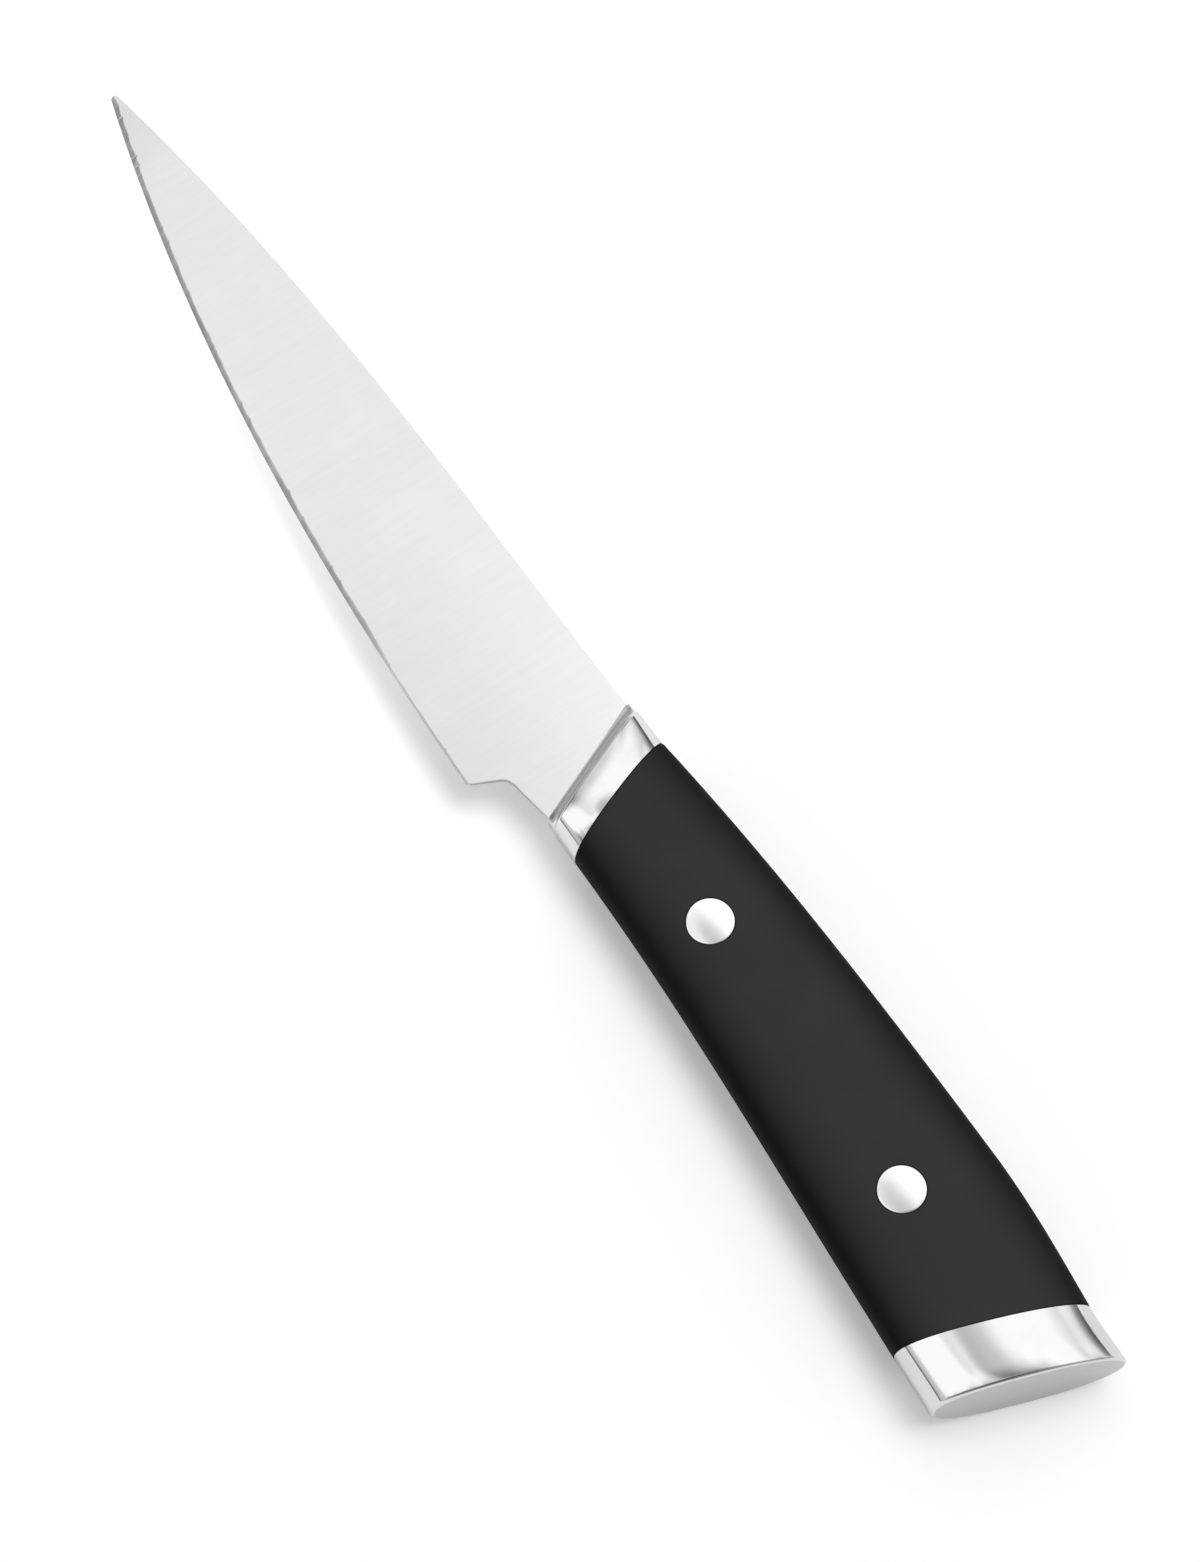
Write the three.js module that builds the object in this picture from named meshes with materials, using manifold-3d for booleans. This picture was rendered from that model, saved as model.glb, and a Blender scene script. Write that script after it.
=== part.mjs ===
// Steak knife with a forged blade, a polished bolster and cap, and a two-piece riveted grip.
// Millimetres. The knife lies on its side: X runs from the tip to the butt, Y from the cutting
// edge to the spine, and Z is the thickness. The drawing's zero is on the long axis, where it
// crosses the front face of the bolster.
import * as THREE from 'three';
import { mergeVertices, toCreasedNormals } from 'three/addons/utils/BufferGeometryUtils.js';
import Module from 'manifold-3d';

const wasm = await Module();
wasm.setup();

// Blade outline, seen from its side
const BLADE_LENGTH = 126.6;
const TIP_RADIUS = 0.6;
const TIP_SPINE_ANGLE = 10.8;
const BLADE_ROOT_SPINE_ANGLE = 2.3;
const TIP_EDGE_ANGLE = 15.8;
const HEEL_EDGE_ANGLE = 0.2;
const HEEL_DEPTH = 15.6;
const HEEL_SETBACK = 6.7;
const HEEL_RAKE_ANGLE = 25;
const NOTCH_RADIUS = 2.6;
const NECK_ANGLE = 10;

// Blade section
const SPINE_THICKNESS = 2.4;
const TIP_THICKNESS = 0.9;
const THICKNESS_BEHIND_EDGE = 0.6;
const BEVEL_WIDTH = 0.8;

// Tang, the tongue of the blade that the grip hides
const NECK_RECESS = 0.08;
const NECK_REACH = 3.0;
const TANG_THICKNESS = 2.2;
const TANG_HEIGHT_FRONT = 9.0;
const TANG_HEIGHT_REAR = 8.0;
const TANG_SWELL_LENGTH = 2.5;
const TENON_LENGTH = 5.5;

// Bolster
const BOLSTER_LENGTH = 7.4;
const BOLSTER_RISE = 9.7;
const BOLSTER_DROP = 9.2;
const BOLSTER_SLANT_ANGLE = -24;
const BOLSTER_BELLY_ANGLE = -2;
const BOLSTER_PROUD = 0.35;
const BOLSTER_FOOT_THICKNESS = 2.8;
const BOLSTER_SHOULDER_THICKNESS = 11.0;
const BOLSTER_FILLET = 2.1;
const BOLSTER_SQUARENESS = 1.2;

// Grip, from the bolster's rear face to the cap
const GRIP_LENGTH = 90;
const GRIP_FRONT_RISE = 10.4;
const GRIP_FRONT_DROP = 9.2;
const GRIP_FRONT_THICKNESS = 12.4;
const GRIP_FRONT_SLANT_ANGLE = -21;
const GRIP_FRONT_SPINE_ANGLE = 7;
const GRIP_FRONT_BELLY_ANGLE = 1.2;
const SWELL_SETBACK = 22;
const SWELL_RISE = 14.55;
const SWELL_DROP = 11.4;
const SWELL_THICKNESS = 13.9;
const SWELL_SLANT_ANGLE = 8;
const SWELL_SPINE_ANGLE = 1;
const SWELL_BELLY_ANGLE = -3.4;
const GRIP_REAR_RISE = 12.95;
const GRIP_REAR_DROP = 12.5;
const GRIP_REAR_THICKNESS = 14.4;
const GRIP_REAR_SLANT_ANGLE = 19.5;
const GRIP_REAR_SPINE_ANGLE = -6;
const GRIP_REAR_BELLY_ANGLE = -3.2;
const SPINE_FULLNESS = 2.2;
const BELLY_FULLNESS = 2.5;

// End cap
const CAP_LENGTH = 9;
const BUTT_RISE = 12.75;
const BUTT_DROP = 12.9;
const BUTT_THICKNESS = 15;
const BUTT_SLANT_ANGLE = 18.6;
const BUTT_SPINE_ANGLE = -1;
const BUTT_EDGE_RADIUS = 0.5;

// Rivets: a solid pin half pressed into a hollow sleeve half
const FRONT_RIVET_SETBACK = 23;
const REAR_RIVET_SETBACK = 21.4;
const RIVET_HEAD_DIAMETER = 6.7;
const RIVET_HEAD_DEPTH = 1.6;
const SLEEVE_DIAMETER = 4.4;
const PIN_DIAMETER = 2.8;
const SLEEVE_FLOOR = 0.6;

// Clearances of the fits
const SEAM = 0.1;
const TANG_CLEARANCE = 0.2;
const RIVET_CLEARANCE = 0.1;

// Fineness of the facets
const POINTS_AROUND_GRIP = 48;
const POINTS_AROUND_RIVET = 32;
const STEPS_ALONG_BLADE = 40;
const TIP_CROWDING = 1.3;
const STEPS_ALONG_BOLSTER = 14;
const STEPS_ALONG_FORE_GRIP = 12;
const STEPS_ALONG_REAR_GRIP = 6;
const STEPS_ALONG_CAP = 4;
const STEPS_ON_ROUNDING = 3;
const STEPS_ON_NOTCH = 8;
const CREASE_ANGLE = THREE.MathUtils.degToRad(32);

const satinSteel = new THREE.MeshStandardMaterial({ color: 0xd6d6d4, roughness: 0.38, metalness: 1 });
const polishedSteel = new THREE.MeshStandardMaterial({ color: 0xe6e6e4, roughness: 0.1, metalness: 1 });
const blackPlastic = new THREE.MeshStandardMaterial({ color: 0x242424, roughness: 0.5, metalness: 0 });

const slope = (degrees) => Math.tan(THREE.MathUtils.degToRad(degrees));

// A closed three.js geometry as a solid that can be joined and cut
function solidOf(geometry) {
  geometry.deleteAttribute('normal');
  geometry.deleteAttribute('uv');
  const merged = mergeVertices(geometry);
  const index = merged.index.array;
  const triangles = [];
  for (let i = 0; i < index.length; i += 3) {
    const [a, b, c] = [index[i], index[i + 1], index[i + 2]];
    if (a !== b && b !== c && c !== a) triangles.push(a, b, c);
  }
  const vertProperties = new Float32Array(merged.attributes.position.array);
  const triVerts = new Uint32Array(triangles);
  return new wasm.Manifold(new wasm.Mesh({ numProp: 3, vertProperties, triVerts }));
}

// A named mesh of a finished solid
function pieceOf(name, solid, material) {
  const { vertProperties, triVerts } = solid.getMesh();
  const geometry = new THREE.BufferGeometry();
  geometry.setAttribute('position', new THREE.BufferAttribute(new Float32Array(vertProperties), 3));
  geometry.setIndex(new THREE.BufferAttribute(new Uint32Array(triVerts), 1));
  const mesh = new THREE.Mesh(toCreasedNormals(geometry, CREASE_ANGLE), material);
  mesh.name = name;
  return mesh;
}

// A solid through closed rings that follow each other along X, each running from +Y over +Z to -Y.
// A first ring of one point makes a pointed end.
function loft(rings) {
  const positions = [];
  const facet = (...corners) => corners.forEach((corner) => positions.push(corner.x, corner.y, corner.z));
  const middle = (ring) => ring.reduce((sum, p) => sum.add(p), new THREE.Vector3()).divideScalar(ring.length);
  const pointed = rings[0].length === 1;
  const count = rings[1].length;
  const next = (j) => (j + 1) % count;
  const front = pointed ? rings[0][0] : middle(rings[0]);
  const firstRing = pointed ? rings[1] : rings[0];
  const rearRing = rings[rings.length - 1];
  const rear = middle(rearRing);
  for (let j = 0; j < count; j += 1) {
    facet(front, firstRing[next(j)], firstRing[j]);
    facet(rear, rearRing[j], rearRing[next(j)]);
  }
  for (let k = pointed ? 1 : 0; k < rings.length - 1; k += 1) {
    const [here, there] = [rings[k], rings[k + 1]];
    for (let j = 0; j < count; j += 1) {
      facet(here[j], here[next(j)], there[next(j)]);
      facet(here[j], there[next(j)], there[j]);
    }
  }
  const geometry = new THREE.BufferGeometry();
  geometry.setAttribute('position', new THREE.Float32BufferAttribute(positions, 3));
  return solidOf(geometry);
}

// A smooth line in the side view between two points that leaves and arrives at given angles
function rail(from, to, angleFrom, angleTo) {
  const reach = (to.x - from.x) / 3;
  const leave = new THREE.Vector2(from.x + reach, from.y + reach * slope(angleFrom));
  const arrive = new THREE.Vector2(to.x - reach, to.y - reach * slope(angleTo));
  return new THREE.CubicBezierCurve(from, leave, arrive, to);
}

// A slanted cross-section of the handle: where it crosses the long axis, its corners, its half
// thickness, and the angles of the spine line and the belly line there
function station(x, slant, rise, drop, thickness, spineAngle, bellyAngle) {
  return {
    x,
    spine: new THREE.Vector2(x + rise * slope(slant), rise),
    belly: new THREE.Vector2(x - drop * slope(slant), -drop),
    half: thickness / 2,
    spineAngle,
    bellyAngle,
  };
}

const gripStart = BOLSTER_LENGTH;
const gripEnd = gripStart + GRIP_LENGTH;
const stations = [
  station(
    0, BOLSTER_SLANT_ANGLE, BOLSTER_RISE, BOLSTER_DROP, BOLSTER_SHOULDER_THICKNESS,
    GRIP_FRONT_SPINE_ANGLE, BOLSTER_BELLY_ANGLE,
  ),
  station(
    gripStart, GRIP_FRONT_SLANT_ANGLE, GRIP_FRONT_RISE, GRIP_FRONT_DROP, GRIP_FRONT_THICKNESS,
    GRIP_FRONT_SPINE_ANGLE, GRIP_FRONT_BELLY_ANGLE,
  ),
  station(
    gripEnd - SWELL_SETBACK, SWELL_SLANT_ANGLE, SWELL_RISE, SWELL_DROP, SWELL_THICKNESS,
    SWELL_SPINE_ANGLE, SWELL_BELLY_ANGLE,
  ),
  station(
    gripEnd, GRIP_REAR_SLANT_ANGLE, GRIP_REAR_RISE, GRIP_REAR_DROP, GRIP_REAR_THICKNESS,
    GRIP_REAR_SPINE_ANGLE, GRIP_REAR_BELLY_ANGLE,
  ),
  station(
    gripEnd + CAP_LENGTH, BUTT_SLANT_ANGLE, BUTT_RISE, BUTT_DROP, BUTT_THICKNESS,
    BUTT_SPINE_ANGLE, GRIP_REAR_BELLY_ANGLE,
  ),
];
const [bolsterFront, gripFront, gripSwell, gripRear] = stations;

// Each length of the handle runs between two stations, on a spine line and a belly line
const lengths = stations.slice(1).map((rear, k) => ({
  front: stations[k],
  rear,
  spine: rail(stations[k].spine, rear.spine, stations[k].spineAngle, rear.spineAngle),
  belly: rail(stations[k].belly, rear.belly, stations[k].bellyAngle, rear.bellyAngle),
}));
const [bolsterLength, foreGrip, rearGrip, capLength] = lengths;
const halfAt = (length, t) => THREE.MathUtils.lerp(length.front.half, length.rear.half, t);

// The bolster's half thickness swells from a thin foot through a hollow fillet to the grip
const footHalf = BOLSTER_FOOT_THICKNESS / 2;
const filletProfile = new THREE.QuadraticBezierCurve(
  new THREE.Vector2(0, footHalf),
  new THREE.Vector2(BOLSTER_FILLET, footHalf),
  new THREE.Vector2(BOLSTER_FILLET, bolsterFront.half),
);
const swellProfile = new THREE.QuadraticBezierCurve(
  new THREE.Vector2(BOLSTER_FILLET, bolsterFront.half),
  new THREE.Vector2((BOLSTER_FILLET + BOLSTER_LENGTH) / 2, gripFront.half),
  new THREE.Vector2(BOLSTER_LENGTH, gripFront.half),
);

// One oval section of the handle, fuller on the belly side than on the spine side. Squareness
// makes it fuller all round, and an inset makes it smaller.
function ovalRing(length, t, half, { squareness = 0, inset = 0 } = {}) {
  const spine = length.spine.getPoint(t);
  const belly = length.belly.getPoint(t);
  const centre = spine.clone().add(belly).multiplyScalar(0.5);
  const reach = spine.clone().sub(centre);
  reach.setLength(reach.length() - inset);
  const ring = [];
  for (let j = 0; j < POINTS_AROUND_GRIP; j += 1) {
    const angle = (2 * Math.PI * j) / POINTS_AROUND_GRIP;
    const fullness = Math.cos(angle) >= 0 ? SPINE_FULLNESS : BELLY_FULLNESS;
    const power = 2 / (fullness + squareness);
    const across = Math.sign(Math.cos(angle)) * Math.abs(Math.cos(angle)) ** power;
    const up = Math.sign(Math.sin(angle)) * Math.abs(Math.sin(angle)) ** power;
    const place = centre.clone().addScaledVector(reach, across);
    ring.push(new THREE.Vector3(place.x, place.y, up * (half - inset)));
  }
  return ring;
}

// The rings of a length of the handle between two places on it, the last one left out
function ovalRings(length, from, to, steps) {
  const rings = [];
  for (let k = 0; k < steps; k += 1) {
    const t = THREE.MathUtils.lerp(from, to, k / steps);
    rings.push(ovalRing(length, t, halfAt(length, t)));
  }
  return rings;
}

// A block with its given corners, used to part the grip into halves
function block(low, high) {
  const size = high.clone().sub(low);
  const centre = low.clone().add(high).multiplyScalar(0.5);
  return solidOf(new THREE.BoxGeometry(size.x, size.y, size.z).translate(centre.x, centre.y, centre.z));
}

function uprightCylinder(x, diameter, height) {
  const cylinder = new THREE.CylinderGeometry(diameter / 2, diameter / 2, height, POINTS_AROUND_RIVET);
  return solidOf(cylinder.rotateX(Math.PI / 2).translate(x, 0, 0));
}

// The blade's flats are two planes, through the tip, the spine at the bolster and the heel
const tip = new THREE.Vector2(-BLADE_LENGTH, 0);
const heel = new THREE.Vector2(-HEEL_SETBACK, -HEEL_DEPTH);
const bladeRise = BOLSTER_RISE - BOLSTER_PROUD;
const bladeDrop = BOLSTER_DROP - BOLSTER_PROUD;
const shoulderX = (y) => y * slope(BOLSTER_SLANT_ANGLE) - SEAM;
const spineRoot = new THREE.Vector2(shoulderX(bladeRise), bladeRise);
const bellyRoot = new THREE.Vector2(shoulderX(-bladeDrop), -bladeDrop);
const flat = new THREE.Plane().setFromCoplanarPoints(
  new THREE.Vector3(tip.x, tip.y, TIP_THICKNESS / 2),
  new THREE.Vector3(heel.x, heel.y, THICKNESS_BEHIND_EDGE / 2),
  new THREE.Vector3(spineRoot.x, spineRoot.y, SPINE_THICKNESS / 2),
);
const flatHeight = (p) => -(flat.normal.x * p.x + flat.normal.y * p.y + flat.constant) / flat.normal.z;

// The tang with its neck, grown all round by a gap: the same call makes the tang and its pockets
function tang(gap) {
  const swellEnd = NECK_REACH + TANG_SWELL_LENGTH;
  const end = gripEnd + TENON_LENGTH;
  const neckCorner = new THREE.Vector2(0, -TANG_HEIGHT_FRONT / 2);
  const neckThickness = 2 * (flatHeight(neckCorner) - NECK_RECESS);
  const heightAt = (x) => THREE.MathUtils.mapLinear(x, 0, end, TANG_HEIGHT_FRONT, TANG_HEIGHT_REAR);
  const ring = (x, height, thickness) => {
    const [y, z] = [height / 2 + gap, thickness / 2 + gap];
    return [
      new THREE.Vector3(x, y, -z),
      new THREE.Vector3(x, y, z),
      new THREE.Vector3(x, -y, z),
      new THREE.Vector3(x, -y, -z),
    ];
  };
  return loft([
    ring(-NECK_REACH - gap, heightAt(0), neckThickness),
    ring(NECK_REACH - gap, heightAt(NECK_REACH), neckThickness),
    ring(swellEnd - gap, heightAt(swellEnd), TANG_THICKNESS),
    ring(end + gap, heightAt(end), TANG_THICKNESS),
  ]);
}

const rivetPlaces = { front: gripStart + FRONT_RIVET_SETBACK, rear: gripEnd - REAR_RIVET_SETBACK };
const onAxis = (x, from, to) => THREE.MathUtils.mapLinear(x, from.x, to.x, from.half, to.half);
function halfOnAxis(x) {
  return x < gripSwell.x ? onAxis(x, gripFront, gripSwell) : onAxis(x, gripSwell, gripRear);
}
const seatLevel = (x) => halfOnAxis(x) - RIVET_HEAD_DEPTH;
const tallerThanGrip = 2 * Math.max(GRIP_FRONT_THICKNESS, GRIP_REAR_THICKNESS);

// The hole for a rivet: a through hole with a recess for the head on both sides
function rivetHole(x) {
  const through = uprightCylinder(x, SLEEVE_DIAMETER + 2 * RIVET_CLEARANCE, tallerThanGrip);
  const recess = uprightCylinder(x, RIVET_HEAD_DIAMETER + 2 * RIVET_CLEARANCE, tallerThanGrip);
  const wider = new THREE.Vector3(RIVET_HEAD_DIAMETER, RIVET_HEAD_DIAMETER, seatLevel(x) - RIVET_CLEARANCE);
  const centre = new THREE.Vector3(x, 0, 0);
  const between = block(centre.clone().sub(wider), centre.clone().add(wider));
  return through.add(recess.subtract(between));
}

// One section of the blade: the spine, the two flats, and the two bevels that meet in the edge
function bladeRing(spine, edge) {
  const bevel = Math.min(BEVEL_WIDTH, spine.distanceTo(edge) / 2);
  const shoulder = edge.clone().add(spine.clone().sub(edge).setLength(bevel));
  return [
    new THREE.Vector3(spine.x, spine.y, flatHeight(spine)),
    new THREE.Vector3(shoulder.x, shoulder.y, flatHeight(shoulder)),
    new THREE.Vector3(edge.x, edge.y, 0),
    new THREE.Vector3(shoulder.x, shoulder.y, -flatHeight(shoulder)),
    new THREE.Vector3(spine.x, spine.y, -flatHeight(spine)),
  ];
}

// The notch behind the heel: up the heel's raked back, round a hollow corner and along the neck
function heelNotch() {
  const rake = slope(HEEL_RAKE_ANGLE);
  const neck = slope(NECK_ANGLE);
  const cornerX = (heel.x + rake * (bellyRoot.y - neck * bellyRoot.x - heel.y)) / (1 - rake * neck);
  const corner = new THREE.Vector2(cornerX, bellyRoot.y + neck * (cornerX - bellyRoot.x));
  const below = heel.clone().add(heel.clone().sub(corner));
  const behind = bellyRoot.clone().add(bellyRoot.clone().sub(corner));
  const up = corner.clone().sub(below).normalize();
  const back = behind.clone().sub(corner).normalize();
  const turn = NOTCH_RADIUS * Math.tan(up.angleTo(back) / 2);
  const arcStart = corner.clone().addScaledVector(up, -turn);
  const arcEnd = corner.clone().addScaledVector(back, turn);
  const outline = new THREE.Shape();
  outline.moveTo(below.x, below.y);
  outline.lineTo(arcStart.x, arcStart.y);
  outline.quadraticCurveTo(corner.x, corner.y, arcEnd.x, arcEnd.y);
  outline.lineTo(behind.x, behind.y);
  outline.lineTo(behind.x, below.y);
  outline.closePath();
  const depth = 2 * SPINE_THICKNESS;
  const settings = { depth, bevelEnabled: false, curveSegments: STEPS_ON_NOTCH };
  return solidOf(new THREE.ExtrudeGeometry(outline, settings).translate(0, 0, -depth / 2));
}

function blade() {
  const onTip = (angle) => new THREE.Vector2(tip.x + TIP_RADIUS, 0)
    .add(new THREE.Vector2(-Math.cos(angle), Math.sin(angle)).multiplyScalar(TIP_RADIUS));
  const spine = rail(onTip(Math.PI / 2), spineRoot, TIP_SPINE_ANGLE, BLADE_ROOT_SPINE_ANGLE);
  const edge = rail(onTip(-Math.PI / 2), heel, -TIP_EDGE_ANGLE, -HEEL_EDGE_ANGLE);
  const spineAtHeel = 1 - HEEL_SETBACK / BLADE_LENGTH;
  const rings = [[new THREE.Vector3(tip.x, tip.y, 0)]];
  for (let k = 1; k < STEPS_ON_ROUNDING; k += 1) {
    const angle = (Math.PI / 2) * (k / STEPS_ON_ROUNDING);
    rings.push(bladeRing(onTip(angle), onTip(-angle)));
  }
  for (let k = 0; k <= STEPS_ALONG_BLADE; k += 1) {
    const t = (k / STEPS_ALONG_BLADE) ** TIP_CROWDING;
    rings.push(bladeRing(spine.getPoint(t * spineAtHeel), edge.getPoint(t)));
  }
  const edgeRoot = new THREE.Vector2(shoulderX(heel.y), heel.y);
  rings.push(bladeRing(spineRoot, edgeRoot));
  return loft(rings).subtract(heelNotch()).add(tang(0));
}

function bolster() {
  const rings = [];
  for (let k = 0; k <= STEPS_ALONG_BOLSTER; k += 1) {
    const onFillet = k < STEPS_ALONG_BOLSTER / 2;
    const local = onFillet ? k / (STEPS_ALONG_BOLSTER / 2) : k / (STEPS_ALONG_BOLSTER / 2) - 1;
    const profile = (onFillet ? filletProfile : swellProfile).getPoint(local);
    const t = profile.x / BOLSTER_LENGTH;
    rings.push(ovalRing(bolsterLength, t, profile.y, { squareness: BOLSTER_SQUARENESS * (1 - t) }));
  }
  return loft(rings).subtract(tang(TANG_CLEARANCE));
}

// The whole grip, before it is parted along the middle plane
const foreStart = SEAM / (gripSwell.x - gripFront.x);
const rearStop = 1 - SEAM / SWELL_SETBACK;
const gripBody = loft([
  ...ovalRings(foreGrip, foreStart, 1, STEPS_ALONG_FORE_GRIP),
  ...ovalRings(rearGrip, 0, rearStop, STEPS_ALONG_REAR_GRIP),
  ovalRing(rearGrip, rearStop, halfAt(rearGrip, rearStop)),
]);

// One half of the grip, on the +Z or the -Z side, with room for the tang and the rivets
function scale(side) {
  const near = (side * SEAM) / 2;
  const far = side * tallerThanGrip;
  const low = new THREE.Vector3(gripStart - GRIP_LENGTH, -GRIP_LENGTH, Math.min(near, far));
  const high = new THREE.Vector3(gripEnd + GRIP_LENGTH, GRIP_LENGTH, Math.max(near, far));
  return gripBody
    .intersect(block(low, high))
    .subtract(tang(TANG_CLEARANCE))
    .subtract(rivetHole(rivetPlaces.front))
    .subtract(rivetHole(rivetPlaces.rear));
}

// A turned half of a rivet, its profile given from the outer face of the head inward. Its shank
// points to the +Z or the -Z side, and its head is cut flush with the grip.
function turned(x, profile, side) {
  const points = profile.map(([radius, height]) => new THREE.Vector2(radius, height));
  const lathe = new THREE.LatheGeometry(points, POINTS_AROUND_RIVET);
  const upright = solidOf(lathe.rotateX(side > 0 ? Math.PI / 2 : -Math.PI / 2).translate(x, 0, 0));
  return upright.intersect(gripBody);
}

function rivetSleeve(x) {
  const seat = seatLevel(x);
  const bore = PIN_DIAMETER / 2 + RIVET_CLEARANCE;
  const profile = [
    [0, -tallerThanGrip / 2],
    [RIVET_HEAD_DIAMETER / 2, -tallerThanGrip / 2],
    [RIVET_HEAD_DIAMETER / 2, -seat],
    [SLEEVE_DIAMETER / 2, -seat],
    [SLEEVE_DIAMETER / 2, seat - RIVET_CLEARANCE],
    [bore, seat - RIVET_CLEARANCE],
    [bore, SLEEVE_FLOOR - seat],
    [0, SLEEVE_FLOOR - seat],
  ];
  return turned(x, profile, 1);
}

function rivetPin(x) {
  const seat = seatLevel(x);
  const profile = [
    [0, -tallerThanGrip / 2],
    [RIVET_HEAD_DIAMETER / 2, -tallerThanGrip / 2],
    [RIVET_HEAD_DIAMETER / 2, -seat],
    [PIN_DIAMETER / 2, -seat],
    [PIN_DIAMETER / 2, seat - SLEEVE_FLOOR - RIVET_CLEARANCE],
    [0, seat - SLEEVE_FLOOR - RIVET_CLEARANCE],
  ];
  return turned(x, profile, -1);
}

function endCap() {
  const roundingStart = 1 - BUTT_EDGE_RADIUS / CAP_LENGTH;
  const rings = ovalRings(capLength, 0, roundingStart, STEPS_ALONG_CAP);
  for (let k = 0; k <= STEPS_ON_ROUNDING; k += 1) {
    const angle = (Math.PI / 2) * (k / STEPS_ON_ROUNDING);
    const t = roundingStart + (1 - roundingStart) * Math.sin(angle);
    const inset = BUTT_EDGE_RADIUS * (1 - Math.cos(angle));
    rings.push(ovalRing(capLength, t, halfAt(capLength, t), { inset }));
  }
  return loft(rings).subtract(tang(TANG_CLEARANCE));
}

function pierced(solid) {
  const hole = SLEEVE_DIAMETER + 2 * RIVET_CLEARANCE;
  const holes = Object.values(rivetPlaces).map((x) => uprightCylinder(x, hole, tallerThanGrip));
  return holes.reduce((rest, cylinder) => rest.subtract(cylinder), solid);
}

const knife = new THREE.Group();
knife.add(pieceOf('blade', pierced(blade()), satinSteel));
knife.add(pieceOf('bolster', bolster(), polishedSteel));
knife.add(pieceOf('left_scale', scale(1), blackPlastic));
knife.add(pieceOf('right_scale', scale(-1), blackPlastic));
for (const [name, x] of Object.entries(rivetPlaces)) {
  knife.add(pieceOf(`${name}_rivet_pin`, rivetPin(x), polishedSteel));
  knife.add(pieceOf(`${name}_rivet_sleeve`, rivetSleeve(x), polishedSteel));
}
knife.add(pieceOf('end_cap', endCap(), polishedSteel));

// The part's origin is under the middle of its box, on the surface that it lies on
const box = new THREE.Box3().setFromObject(knife);
const middle = box.getCenter(new THREE.Vector3());
knife.position.set(-middle.x, -middle.y, -box.min.z);

const part = new THREE.Group();
part.add(knife);
part.updateMatrixWorld(true);

export default part;
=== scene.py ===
"""Looks of a steak knife: fine surfaces, finishes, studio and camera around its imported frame.

Sizes in the classes are millimetres on the knife's own drawing. Its zero is where the long axis
crosses the front of the bolster: X runs from the tip to the butt, Y from the cutting edge to the
spine, and Z is the thickness, zero on the middle plane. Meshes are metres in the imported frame.
"""

import logging
import math
from collections.abc import Sequence
from dataclasses import dataclass, field
from enum import Enum
from functools import cached_property

import bmesh
import bpy
import numpy as np
from mathutils import Matrix, Vector


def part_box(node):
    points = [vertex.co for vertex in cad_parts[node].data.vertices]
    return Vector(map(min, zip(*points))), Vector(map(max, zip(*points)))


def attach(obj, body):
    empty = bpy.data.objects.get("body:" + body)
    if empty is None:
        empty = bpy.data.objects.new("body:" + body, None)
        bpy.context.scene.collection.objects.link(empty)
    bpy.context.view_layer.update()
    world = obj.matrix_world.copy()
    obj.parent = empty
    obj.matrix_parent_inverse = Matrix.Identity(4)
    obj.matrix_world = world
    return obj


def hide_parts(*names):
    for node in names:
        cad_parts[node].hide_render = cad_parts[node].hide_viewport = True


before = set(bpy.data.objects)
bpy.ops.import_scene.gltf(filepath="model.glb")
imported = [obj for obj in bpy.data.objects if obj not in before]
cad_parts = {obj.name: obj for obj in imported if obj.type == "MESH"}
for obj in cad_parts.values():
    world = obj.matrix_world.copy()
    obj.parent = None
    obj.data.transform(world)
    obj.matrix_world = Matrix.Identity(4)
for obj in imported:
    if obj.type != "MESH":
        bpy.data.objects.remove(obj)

Array = np.ndarray
Piece = bpy.types.Object
Material = bpy.types.Material
Tree = bpy.types.NodeTree
Node = bpy.types.Node
Socket = bpy.types.NodeSocket
Outputs = bpy.types.NodeOutputs
Inputs = dict[str | int, object]
Pair = tuple[float, float]
Triple = tuple[float, float, float]
log = logging.getLogger("steak_knife")

MM = 0.001
BODY = "root"
WELD = 2e-7
SHARP_ANGLE = math.radians(32)
SEAM = 0.1
TANG_CLEARANCE = 0.2
RIVET_CLEARANCE = 0.1
QUARTER = np.pi / 2
HALVINGS = 40
OCTAVES = 3
TINY = 1e-9


def slope(degrees: float | Array) -> float | Array:
    """Rise over run of an angle in degrees."""
    return np.tan(np.radians(degrees))


def rail(start: Array, end: Array, slope_start: Array, slope_end: Array, t: Array) -> Array:
    """Points of a smooth line that leaves and arrives with given slopes.

    X runs evenly from start to end. Y is the cubic whose two inner control heights lie a third of
    the run along the leaving and the arriving slope.

    Args:
        start: First point or points, last axis (x, y).
        end: Last point or points, last axis (x, y).
        slope_start: Rise over run at the start.
        slope_end: Rise over run at the end.
        t: Places from 0 to 1 on the line.

    Returns:
        The points, with a last axis (x, y).
    """
    x0, y0, x1, y1 = start[..., 0], start[..., 1], end[..., 0], end[..., 1]
    third = (x1 - x0) / 3
    leave, arrive = y0 + third * slope_start, y1 - third * slope_end
    s = 1 - t
    y = s**3 * y0 + 3 * s * s * t * leave + 3 * s * t * t * arrive + t**3 * y1
    return np.stack([x0 + (x1 - x0) * t, y], axis=-1)


def bend(start: Array, drawn_to: Array, end: Array, t: Array) -> Array:
    """Points at t on the parabola from start to end that is drawn towards a third point."""
    return (1 - t) ** 2 * start + 2 * t * (1 - t) * drawn_to + t * t * end


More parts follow.
